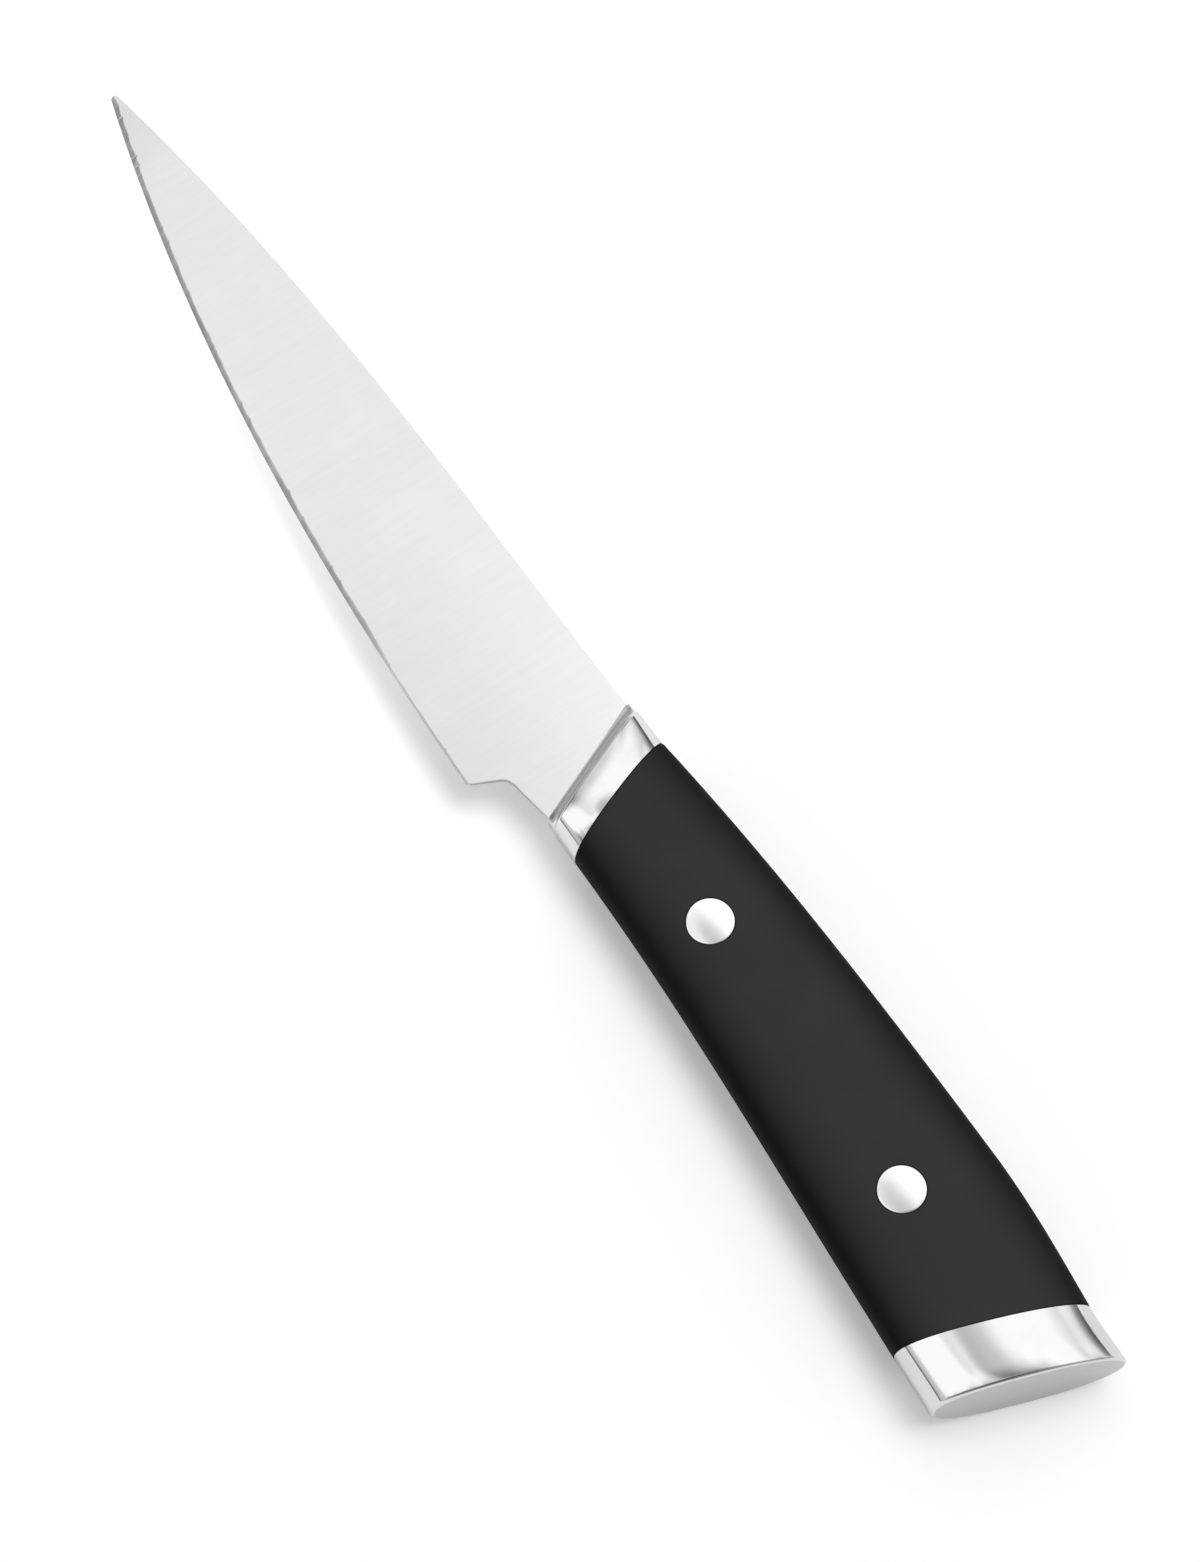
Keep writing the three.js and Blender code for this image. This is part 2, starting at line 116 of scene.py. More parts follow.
@dataclass(frozen=True)
class Ease:
    """A smooth rise from zero at low to an amount at high."""

    low: float
    high: float
    amount: float = 1.0

    def __call__(self, value: Array) -> Array:
        """The cubic ease 3t*t - 2t*t*t between low and high, times the amount."""
        t = np.clip((value - self.low) / (self.high - self.low), 0, 1)
        return self.amount * (t * t * (3 - 2 * t))


@dataclass(frozen=True)
class Ragged:
    """A rough line: seeded values at every step, joined by straight pieces, halving twice."""

    step: float
    seed: int
    height: float = 1.0

    def __call__(self, places: Array) -> Array:
        """The line's values.

        Args:
            places: Where the line is read, in millimetres.

        Returns:
            One value for each place.
        """
        draws = np.random.default_rng(self.seed)
        total = np.zeros_like(places)
        for octave in range(OCTAVES):
            spacing = self.step / 2**octave
            knots = np.arange(places.min() - spacing, places.max() + 2 * spacing, spacing)
            total += np.interp(places, knots, draws.uniform(-1, 1, len(knots))) / 2**octave
        return self.height * total


def around_oval(count: int) -> Array:
    """Angles of a whole turn, evenly spaced, without the last."""
    return np.linspace(0, 2 * np.pi, count, endpoint=False)


def show(name: str, data: bpy.types.ID) -> Piece:
    """A new object in the scene, at the origin."""
    piece = bpy.data.objects.new(name, data)
    bpy.context.scene.collection.objects.link(piece)
    return piece


@dataclass(frozen=True)
class Placement:
    """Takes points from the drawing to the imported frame."""

    shift: Triple

    def __call__(self, points: Array) -> Array:
        """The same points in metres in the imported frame."""
        return (np.asarray(points, float) + np.array(self.shift)) * MM


class Shell:
    """Gathers grids and flat faces of points into one closed mesh."""

    def __init__(self, name: str, place: Placement) -> None:
        """Starts an empty shell of a named piece."""
        self.name = name
        self.place = place
        self.points: list[Array] = []
        self.faces: list[list[int]] = []
        self.marks: list[Array] = []
        self.count = 0

    def grid(self, points: Array, mark: Array | float = 0.0, wrap: bool = False) -> None:
        """Adds a grid of quads.

        Args:
            points: Grid of points with axes (row, column, xyz).
            mark: Value of the face mark: one for all, for each row of quads, or for each quad.
            wrap: Whether the last column joins the first.
        """
        rows, columns = points.shape[:2]
        index = np.arange(rows * columns).reshape(rows, columns) + self.count
        if wrap:
            index = np.concatenate([index, index[:, :1]], axis=1)
        corners = (index[:-1, :-1], index[:-1, 1:], index[1:, 1:], index[1:, :-1])
        quads = np.stack(corners, axis=-1)
        marks = np.broadcast_to(np.atleast_2d(np.transpose(mark)).T, quads.shape[:2])
        self._keep(points.reshape(-1, 3), quads.reshape(-1, 4).tolist(), marks.ravel())

    def face(self, loop: Array, mark: float = 0.0) -> None:
        """Adds one flat face round a loop of points."""
        self._keep(loop, [list(range(self.count, self.count + len(loop)))], np.array([mark]))

    def loft(self, rings: Array, mark: Array | float = 0.0, end_mark: float = 0.0) -> None:
        """Adds a tube through rings of points, closed by a flat face at each end."""
        self.grid(rings, mark, wrap=True)
        self.face(rings[0])
        self.face(rings[-1], end_mark)

    def _keep(self, points: Array, faces: list[list[int]], marks: Array) -> None:
        """Keeps points, the faces between them and the faces' marks."""
        self.points.append(points)
        self.faces.extend(faces)
        self.marks.append(marks)
        self.count += len(points)

    def build(self, mark_name: str | None = None) -> Piece:
        """Writes the shell as a welded, outward-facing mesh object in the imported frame.

        Args:
            mark_name: Name of the face attribute that holds the marks, if any.

        Returns:
            The new object, at the origin.
        """
        mesh = bpy.data.meshes.new(self.name)
        mesh.from_pydata(self.place(np.concatenate(self.points)).tolist(), [], self.faces)
        if mark_name:
            layer = mesh.attributes.new(mark_name, "FLOAT", "FACE")
            layer.data.foreach_set("value", np.concatenate(self.marks).astype(np.float32))
        tool = bmesh.new()
        tool.from_mesh(mesh)
        bmesh.ops.remove_doubles(tool, verts=tool.verts, dist=WELD)
        bmesh.ops.dissolve_degenerate(tool, edges=tool.edges, dist=WELD)
        bmesh.ops.recalc_face_normals(tool, faces=tool.faces)
        tool.to_mesh(mesh)
        tool.free()
        piece = show(self.name, mesh)
        soften(piece)
        return piece


def soften(piece: Piece) -> None:
    """Shades a piece smooth, with its real corners kept sharp."""
    mesh = piece.data
    mesh.polygons.foreach_set("use_smooth", np.ones(len(mesh.polygons), bool))
    mesh.set_sharp_from_angle(angle=SHARP_ANGLE)
    mesh.update()


def cut(piece: Piece, cutters: Sequence[Piece]) -> None:
    """Takes the space of the cutters out of a piece.

    Args:
        piece: The piece to cut.
        cutters: Closed shapes, which are removed from the scene afterwards.
    """
    for cutter in cutters:
        modifier = piece.modifiers.new("cut", "BOOLEAN")
        modifier.operation = "DIFFERENCE"
        modifier.solver = "EXACT"
        modifier.object = cutter
    graph = bpy.context.evaluated_depsgraph_get()
    mesh = bpy.data.meshes.new_from_object(piece.evaluated_get(graph))
    piece.modifiers.clear()
    mesh.name = piece.name
    piece.data = mesh
    for cutter in cutters:
        bpy.data.objects.remove(cutter)
    soften(piece)


@dataclass(frozen=True)
class Station:
    """One slanted cross-section of the handle.

    It crosses the long axis at x and leans by slant degrees. Rise and drop are its heights above
    and below the axis, and the two angles are those of the spine and the belly line there.
    """

    x: float
    slant: float
    rise: float
    drop: float
    thickness: float
    spine_angle: float
    belly_angle: float

    def spine(self) -> Pair:
        """The corner on the spine line."""
        return self.x + self.rise * slope(self.slant), self.rise

    def belly(self) -> Pair:
        """The corner on the belly line."""
        return self.x - self.drop * slope(self.slant), -self.drop


class Mark(Enum):
    """Places along the handle, counted in stations."""

    BOLSTER_FRONT = 0
    GRIP_FRONT = 1
    SWELL = 2
    GRIP_REAR = 3
    BUTT = 4


@dataclass(frozen=True)
class HandleForm:
    """The oval form that bolster, grip and end cap share."""

    stations: tuple[Station, ...] = (
        Station(0.0, -24.0, 9.7, 9.2, 11.0, 7.0, -2.0),
        Station(7.4, -21.0, 10.4, 9.2, 12.4, 7.0, 1.2),
        Station(75.4, 8.0, 14.55, 11.4, 13.9, 1.0, -3.4),
        Station(97.4, 19.5, 12.95, 12.5, 14.4, -6.0, -3.2),
        Station(106.4, 18.6, 12.75, 12.9, 15.0, -1.0, -3.2),
    )
    spine_fullness: float = 2.2
    belly_fullness: float = 2.5

    def at(self, mark: Mark) -> Station:
        """The station at a mark."""
        return self.stations[mark.value]

    def places(self, x: Array) -> Array:
        """Places on the long axis, counted in stations."""
        return np.interp(x, [station.x for station in self.stations], np.arange(len(self.stations)))

    def half(self, place: Array) -> Array:
        """Half of the thickness, straight from station to station."""
        halves = [station.thickness / 2 for station in self.stations]
        return np.interp(place, np.arange(len(halves)), halves)

    def lines(self, place: Array) -> tuple[Array, Array]:
        """Points of the spine line and the belly line at places counted in stations."""
        k = np.clip(np.floor(place).astype(int), 0, len(self.stations) - 2)
        found = []
        for corners, angles in (
            ([s.spine() for s in self.stations], [s.spine_angle for s in self.stations]),
            ([s.belly() for s in self.stations], [s.belly_angle for s in self.stations]),
        ):
            knots, slopes = np.array(corners), slope(np.array(angles))
            found.append(rail(knots[k], knots[k + 1], slopes[k], slopes[k + 1], place - k))
        return found[0], found[1]

    def rings(
        self,
        place: Array,
        around: Array,
        half: Array | None = None,
        squareness: Array | float = 0.0,
        inset: Array | float = 0.0,
    ) -> Array:
        """Oval sections of the handle.

        A section is the oval |across|^n + |up|^n = 1 with its own n on the spine and the belly
        side. Across runs along the line from belly to spine, and up along the thickness.

        Args:
            place: Where the sections are, counted in stations.
            around: Angles round the oval, zero at the spine and a quarter turn on the left side.
            half: Half thickness of each section, or None for the handle's own.
            squareness: What is added to n at each section.
            inset: How much smaller each section is.

        Returns:
            Points with axes (section, angle, xyz).
        """
        spine, belly = self.lines(place)
        centre, reach = (spine + belly) / 2, (spine - belly) / 2
        length = np.linalg.norm(reach, axis=-1, keepdims=True)
        inset = np.broadcast_to(inset, place.shape)[:, None]
        reach = reach * (1 - inset / length)
        up_reach = (self.half(place) if half is None else half)[:, None] - inset
        cos, sin = np.cos(around), np.sin(around)
        fullness = np.where(cos >= 0, self.spine_fullness, self.belly_fullness)
        squareness = np.broadcast_to(squareness, place.shape)[:, None]
        power = 2 / (fullness[None, :] + squareness)
        across = np.sign(cos) * np.abs(cos) ** power
        up = np.sign(sin) * np.abs(sin) ** power
        flat = centre[:, None, :] + across[..., None] * reach[:, None, :]
        return np.concatenate([flat, (up * up_reach)[..., None]], axis=-1)

    def height(self, x: Array, y: Array) -> Array:
        """Height of the grip's left side over points of the middle plane.

        The section through a point is found by halving: the point lies on the line from belly to
        spine where the cross product of that line with the way to the point is zero.

        Args:
            x: Places along the knife.
            y: Places across it.

        Returns:
            The height over each point.
        """
        low = np.full(np.shape(x), float(Mark.GRIP_FRONT.value))
        high = np.full(np.shape(x), float(Mark.GRIP_REAR.value))
        for _ in range(HALVINGS):
            place = (low + high) / 2
            spine, belly = self.lines(place)
            way, line = np.stack([x, y], axis=-1) - belly, spine - belly
            ahead = way[..., 0] * line[..., 1] - way[..., 1] * line[..., 0] > 0
            low, high = np.where(ahead, place, low), np.where(ahead, high, place)
        share = np.sum(way * line, axis=-1) / np.sum(line * line, axis=-1)
        across = np.clip(np.abs(2 * share - 1), 0, 1)
        fullness = np.where(share >= 0.5, self.spine_fullness, self.belly_fullness)
        return self.half(place) * (1 - across**fullness) ** (1 / fullness)


@dataclass(frozen=True)
class TangForm:
    """The flat tongue of the blade inside the handle."""

    neck_thickness: float = 1.16
    neck_reach: float = 3.0
    thickness: float = 2.2
    height_front: float = 9.0
    height_rear: float = 8.0
    swell_length: float = 2.5
    end: float = 102.9

    def height(self, x: float) -> float:
        """Height of the tang, straight from its front to its end."""
        return self.height_front + (self.height_rear - self.height_front) * x / self.end

    def sections(self, gap: float) -> list[Triple]:
        """Place, half height and half thickness of each section, grown all round by a gap."""
        swell_end = self.neck_reach + self.swell_length
        places = (
            (-self.neck_reach - gap, 0.0, self.neck_thickness),
            (self.neck_reach - gap, self.neck_reach, self.neck_thickness),
            (swell_end - gap, swell_end, self.thickness),
            (self.end + gap, self.end, self.thickness),
        )
        return [(x, self.height(at) / 2 + gap, thick / 2 + gap) for x, at, thick in places]

    def pocket(self, place: Placement) -> Piece:
        """The space that the tang needs in what it runs through, as a shape that cuts it out."""
        corners = np.array([(1, -1), (1, 1), (-1, 1), (-1, -1)])
        rings = [
            np.column_stack([np.full(len(corners), x), corners * (height, thick)])
            for x, height, thick in self.sections(TANG_CLEARANCE)
        ]
        shell = Shell("tang_pocket", place)
        shell.loft(np.stack(rings))
        return shell.build()


class NodeDesk:
    """A node tree with short ways to add nodes and join their sockets."""

    def __init__(self, tree: Tree) -> None:
        """Works on a node tree."""
        self.tree = tree

    def put(self, node: Node, inputs: Inputs) -> None:
        """Gives values or sockets to the inputs of a node, by name or number."""
        for key, value in inputs.items():
            if isinstance(value, Socket):
                self.tree.links.new(value, node.inputs[key])
            else:
                node.inputs[key].default_value = value

    def add(self, kind: str, inputs: Inputs | None = None, **settings: object) -> Node:
        """Adds a node.

        Args:
            kind: The node's type in Blender, without the ShaderNode that most types begin with.
            inputs: Values or sockets for its inputs, by name or number.
            settings: Values of the node's own settings.

        Returns:
            The new node.
        """
        node = self.tree.nodes.new(kind if kind.startswith("NodeGroup") else f"ShaderNode{kind}")
        for name, value in settings.items():
            setattr(node, name, value)
        self.put(node, inputs or {})
        return node

    def out(self, kind: str, inputs: Inputs | None = None, **settings: object) -> Socket:
        """First output of a new node."""
        return self.add(kind, inputs, **settings).outputs[0]

    def math(self, operation: str, *values: object) -> Socket:
        """Result of a Math node on values or sockets."""
        return self.out("Math", dict(enumerate(values)), operation=operation)

    def tune(self, value: Socket, amount: object, base: object) -> Socket:
        """A base plus an amount of a value."""
        return self.math("MULTIPLY_ADD", value, amount, base)

    def span(
        self, value: Socket, low: float, high: float, to_low: object, to_high: object
    ) -> Socket:
        """A value carried smoothly from one span to another, and held at its ends."""
        inputs = {0: value, 1: low, 2: high, 3: to_low, 4: to_high}
        return self.out("MapRange", inputs, interpolation_type="SMOOTHSTEP")

    def mix(self, share: object, first: object, second: object) -> Socket:
        """Value between two values by a share."""
        return self.out("Mix", {0: share, 2: first, 3: second})

    def blend(self, share: object, first: object, second: object) -> Socket:
        """Colour between two colours by a share."""
        return self.add("Mix", {0: share, 6: first, 7: second}, data_type="RGBA").outputs[2]

    def neutral(self, value: Socket) -> Socket:
        """The grey colour of a value."""
        return self.out("CombineColor", {0: value, 1: value, 2: value})

    def noise(self, place: Socket, scale: float, detail: float, **more: float) -> Socket:
        """Noise at a place."""
        return self.out("TexNoise", {"Vector": place, "Scale": scale, "Detail": detail, **more})

    def bump(self, height: Socket, strength: float, distance: float) -> Socket:
        """The normal of a surface with a small height on it."""
        return self.out("Bump", {"Strength": strength, "Distance": distance, "Height": height})

    def attribute(self, name: str) -> Socket:
        """Value of a mesh attribute."""
        return self.add("Attribute", attribute_name=name).outputs["Fac"]

    def group(self, tree: Tree, **inputs: object) -> Outputs:
        """Outputs of a node group. Low lines in the names of its inputs stand for spaces."""
        given = {name.replace("_", " "): value for name, value in inputs.items()}
        return self.add("Group", given, node_tree=tree).outputs


def grey(value: float, warmth: float = 0.0) -> tuple[float, float, float, float]:
    """A grey colour, with a little more red and less blue by warmth."""
    return value * (1 + warmth), value, value * (1 - warmth), 1.0


@dataclass(frozen=True)
class Effects:
    """Shader node groups that the finishes share, each built once."""

    coarse_scale: float = 0.16
    smudge_span: Pair = (0.45, 0.75)
    hairline_scale: float = 2.3
    hairline_curl: float = 1.4
    hairline_width: float = 0.012

    @cached_property
    def grain(self) -> Tree:
        """Grinding lines: fine and coarse stretched noise, as a streak value around a half."""
        desk, given, result = self._group("grinding_lines", ("Vector", "Coarse Share"), ("Streak",))
        place = given["Vector"]
        wide = desk.out("VectorMath", {0: place, "Scale": self.coarse_scale}, operation="SCALE")
        fine, coarse = desk.noise(place, 1.0, 3.0), desk.noise(wide, 1.0, 2.0)
        desk.put(result, {"Streak": desk.mix(given["Coarse Share"], fine, coarse)})
        return desk.tree

    @cached_property
    def marks(self) -> Tree:
        """Traces of handling: soft clouds of smudge and thin curved hairlines, from 0 to 1."""
        desk, given, result = self._group("handling_marks", ("Vector", "Size"), ("Smudge", "Hairline"))
        place = desk.out("VectorMath", {0: given["Vector"], "Scale": given["Size"]}, operation="SCALE")
        cloud = desk.noise(place, 1.0, 4.0, Roughness=0.6)
        bent = desk.noise(place, self.hairline_scale, 1.0, Distortion=self.hairline_curl)
        line = desk.math("ABSOLUTE", desk.math("SUBTRACT", bent, 0.5))
        desk.put(result, {
            "Smudge": desk.span(cloud, *self.smudge_span, 0.0, 1.0),
            "Hairline": desk.span(line, 0.0, self.hairline_width, 1.0, 0.0),
        })
        return desk.tree

    @staticmethod
    def _group(
        name: str, takes: Sequence[str], gives: Sequence[str]
    ) -> tuple[NodeDesk, Outputs, Node]:
        """Starts a node group with named inputs and outputs.

        Args:
            name: Name of the group.
            takes: Names of its inputs.
            gives: Names of its outputs.

        Returns:
            Its desk, what it is given, and the node for its results.
        """
        tree = bpy.data.node_groups.new(name, "ShaderNodeTree")
        for socket in takes:
            kind = "NodeSocketVector" if socket == "Vector" else "NodeSocketFloat"
            tree.interface.new_socket(socket, in_out="INPUT", socket_type=kind)
        for socket in gives:
            tree.interface.new_socket(socket, in_out="OUTPUT", socket_type="NodeSocketFloat")
        desk = NodeDesk(tree)
        return desk, desk.add("NodeGroupInput").outputs, desk.add("NodeGroupOutput")


@dataclass(frozen=True)
class Finish:
    """What every finish has, and the material that is made with it.

    The bump is the strength and the depth of its relief, and lines are the scales of its grinding.
    """

    name: str = "finish"
    metallic: float = 1.0
    specular: float = 0.5
    roughness: float = 0.5
    smudge_roughness: float = 0.05
    mark_size: float = 100.0
    bump: Pair = (0.1, 0.00001)
    lines: Triple = (1000.0, 1000.0, 1000.0)
    coarse_share: float = 0.5

    def make(self, effects: Effects) -> Material:
        """Feeds one shader with the finish's colour, roughness and relief.

        Args:
            effects: The shared node groups.

        Returns:
            The finished material.
        """
        material = bpy.data.materials.new(self.name)
        material.use_nodes = True
        desk = NodeDesk(material.node_tree)
        place = desk.add("TexCoord").outputs["Object"]
        marks = desk.group(effects.marks, Vector=place, Size=self.mark_size)
        relief = self.relief(desk, effects, place)
        desk.put(desk.tree.nodes["Principled BSDF"], {
            "Base Color": self.colour(desk, place, marks, relief),
            "Roughness": self.rough(desk, marks, relief),
            "Normal": desk.bump(relief, *self.bump),
            "Metallic": self.metallic,
            "Specular IOR Level": self.specular,
        })
        return material

    def relief(self, desk: NodeDesk, effects: Effects, place: Socket) -> Socket:
        """Small heights of the surface: grinding lines."""
        lines = desk.out("Mapping", {"Vector": place, "Scale": self.lines})
        return desk.group(effects.grain, Vector=lines, Coarse_Share=self.coarse_share)["Streak"]

    def rough(self, desk: NodeDesk, marks: Outputs, relief: Socket) -> Socket:
        """Roughness, changed by smudges."""
        return desk.tune(marks["Smudge"], self.smudge_roughness, self.roughness)

    def colour(self, desk: NodeDesk, place: Socket, marks: Outputs, relief: Socket) -> Socket:
        """Colour of the surface."""
        raise NotImplementedError


@dataclass(frozen=True)
class SatinSteel(Finish):
    """Belt-ground steel with fine lines from spine to edge, and a coarser, darker cutting bevel.

    The belt leaves soft clouds. The darker tip, the flat that pales towards the spine at its root
    and the darker bevel are painted shade and painted light.
    """

    name: str = "satin_steel"
    roughness: float = 0.36
    smudge_roughness: float = 0.03
    streak_roughness: float = 0.03
    mark_size: float = 70.0
    bump: Pair = (0.06, 0.00002)
    lines: Triple = (7000.0, 260.0, 1500.0)
    coarse_share: float = 0.45
    streak_span: Pair = (0.3, 0.7)
    corner: Pair = (-0.1186, -0.0151)
    length: float = 0.127
    depth: float = 0.025
    shade: float = 0.744
    # painted shade on the tip and the edge side of the flat, painted light on its spine side
    tip_painted_shade: float = 0.065
    belly_painted_shade: float = 0.04
    spine_painted_light: float = 0.07
    cloud: float = 0.029
    mottle: float = 0.016
    # the bevel's dark colour is painted shade for the dark reflections in the cutting bevel
    bevel_painted_shade: float = 0.36
    painted_shade_mark: str = "painted_edge_shade"

    def streak(self, desk: NodeDesk, relief: Socket) -> Socket:
        """Grinding lines as a value from -1 to 1."""
        return desk.span(relief, *self.streak_span, -1.0, 1.0)

    def rough(self, desk: NodeDesk, marks: Outputs, relief: Socket) -> Socket:
        """Roughness, changed by streaks and smudges."""
        rough = desk.tune(self.streak(desk, relief), self.streak_roughness, self.roughness)
        return desk.tune(marks["Smudge"], self.smudge_roughness, rough)

    def colour(self, desk: NodeDesk, place: Socket, marks: Outputs, relief: Socket) -> Socket:
        """Grey with streaks, clouds, painted light and shade, and painted shade on the bevel."""
        bright = desk.tune(self.streak(desk, relief), self.mottle, self.shade)
        bright = desk.tune(marks["Smudge"], self.cloud, bright)
        bright = desk.math("ADD", bright, self.painted_light_sweep(desk, place))
        # painted shade on the bevel and the notch wall, through their face mark
        return desk.blend(desk.attribute(self.painted_shade_mark), desk.neutral(bright), grey(self.bevel_painted_shade))

    def painted_light_sweep(self, desk: NodeDesk, place: Socket) -> Socket:
        """Painted light and shade added to the colour's value.

        Painted shade darkens the tip over the first sixth of the length. From the middle to the root
        grows painted shade at the edge and painted light at the spine.

        Args:
            desk: The material's desk.
            place: Object coordinates.

        Returns:
            The addition to the shade.
        """
        axes = desk.add("SeparateXYZ", {0: place}).outputs
        tip, belly = self.corner
        # painted shade on the tip, then painted shade at the edge and painted light at the spine
        painted_tip = desk.span(axes["X"], tip, tip + self.length / 6, -self.tip_painted_shade, 0.0)
        grown = desk.span(axes["X"], tip + self.length / 2, tip + self.length, 0.0, 1.0)
        painted_lean = desk.span(axes["Y"], belly, belly + self.depth, -self.belly_painted_shade, self.spine_painted_light)
        return desk.tune(grown, painted_lean, painted_tip)


@dataclass(frozen=True)
class PolishedSteel(Finish):
    """Buffed steel: a near mirror with a faint wave, smudges and hairlines; painted shade where lapped.
    """

    name: str = "polished_steel"
    roughness: float = 0.07
    smudge_roughness: float = 0.05
    hairline_roughness: float = 0.05
    mark_size: float = 160.0
    bump: Pair = (0.12, 0.00003)
    wave_scale: float = 220.0
    shade: float = 0.857
    smudge_share: float = 0.94
    smudge_warmth: float = 0.01
    # the lapped mark makes the surface rougher and also paints shade into its colour
    lapped_and_shaded_mark: str = "lapped"
    lapped_painted_shade: float = 0.63
    lapped_roughness: float = 0.22

    def relief(self, desk: NodeDesk, effects: Effects, place: Socket) -> Socket:
        """Small heights of the surface: a slow wave."""
        return desk.noise(place, self.wave_scale, 1.0)

    def rough(self, desk: NodeDesk, marks: Outputs, relief: Socket) -> Socket:
        """Roughness, raised by smudges, hairlines and lapping."""
        rough = desk.tune(marks["Smudge"], self.smudge_roughness, self.roughness)
        rough = desk.tune(marks["Hairline"], self.hairline_roughness, rough)
        return desk.tune(desk.attribute(self.lapped_and_shaded_mark), self.lapped_roughness, rough)

    def colour(self, desk: NodeDesk, place: Socket, marks: Outputs, relief: Socket) -> Socket:
        """Grey, a little duller under smudges, and darker with painted shade where lapped."""
        smudged = grey(self.shade * self.smudge_share, self.smudge_warmth)
        tint = desk.blend(marks["Smudge"], grey(self.shade), smudged)
        return desk.blend(desk.attribute(self.lapped_and_shaded_mark), tint, grey(self.lapped_painted_shade))


@dataclass(frozen=True)
class RivetSteel(Finish):
    """Rivet heads ground and buffed with the grip, with lines along the knife."""

    name: str = "rivet_steel"
    roughness: float = 0.16
    smudge_roughness: float = 0.06
    mark_size: float = 300.0
    bump: Pair = (0.1, 0.00001)
    lines: Triple = (300.0, 6000.0, 1500.0)
    coarse_share: float = 0.3
    shade: float = 0.9
    mottle: float = 0.04

    def colour(self, desk: NodeDesk, place: Socket, marks: Outputs, relief: Socket) -> Socket:
        """Grey with streaks."""
        return desk.neutral(desk.tune(relief, self.mottle, self.shade))


@dataclass(frozen=True)
class BlackPlastic(Finish):
    """Moulded black plastic with a fine even grain, with painted shade down the sides of the grip."""

    name: str = "black_plastic"
    metallic: float = 0.0
    specular: float = 0.05
    roughness: float = 0.62
    smudge_roughness: float = -0.04
    mark_size: float = 60.0
    bump: Pair = (0.18, 0.00002)
    grain_scale: float = 5200.0
    middle: float = 0.0075
    # the side colour and the two heights paint shade down the grip's sides
    side_height: float = 0.0028
    crown_height: float = 0.007
    side_painted_shade: float = 0.0065
    crown_shade: float = 0.0355
    worn_shade: float = 0.04
    worn_warmth: float = 0.02

    def relief(self, desk: NodeDesk, effects: Effects, place: Socket) -> Socket:
        """Small heights of the surface: a fine grain."""
        return desk.noise(place, self.grain_scale, 3.0)

    def colour(self, desk: NodeDesk, place: Socket, marks: Outputs, relief: Socket) -> Socket:
        """Black with painted shade that deepens towards the middle plane, and paler under smudges."""
        height = desk.add("SeparateXYZ", {0: place}).outputs["Z"]
        rise = desk.math("ABSOLUTE", desk.math("SUBTRACT", height, self.middle))
        # painted shade: the lower a point lies on the grip's side, the darker its colour
        crown = desk.span(rise, self.side_height, self.crown_height, 0.0, 1.0)
        worn = grey(self.worn_shade, self.worn_warmth)
        rubbed = desk.blend(marks["Smudge"], grey(self.crown_shade), worn)
        return desk.blend(crown, grey(self.side_painted_shade), rubbed)


@dataclass
class Workshop:
    """What every sub-assembly is made with: the forms, the placement and the finishes."""

    place: Placement
    handle: HandleForm = field(default_factory=HandleForm)
    tang: TangForm = field(default_factory=TangForm)
    finishes: dict[str, Material] = field(default_factory=dict)

    def dress(self, piece: Piece, node: str, slot: str) -> None:
        """Gives a piece its finish and lets it stand for its CAD node.

        Args:
            piece: The finished piece.
            node: The CAD node that it replaces.
            slot: The material slot, which is also the finish's name.
        """
        piece.data.materials.clear()
        piece.data.materials.append(self.finishes[slot])
        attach(piece, BODY)
        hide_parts(node)
        log.info("%s stands for %s: %d faces", piece.name, node, len(piece.data.polygons))


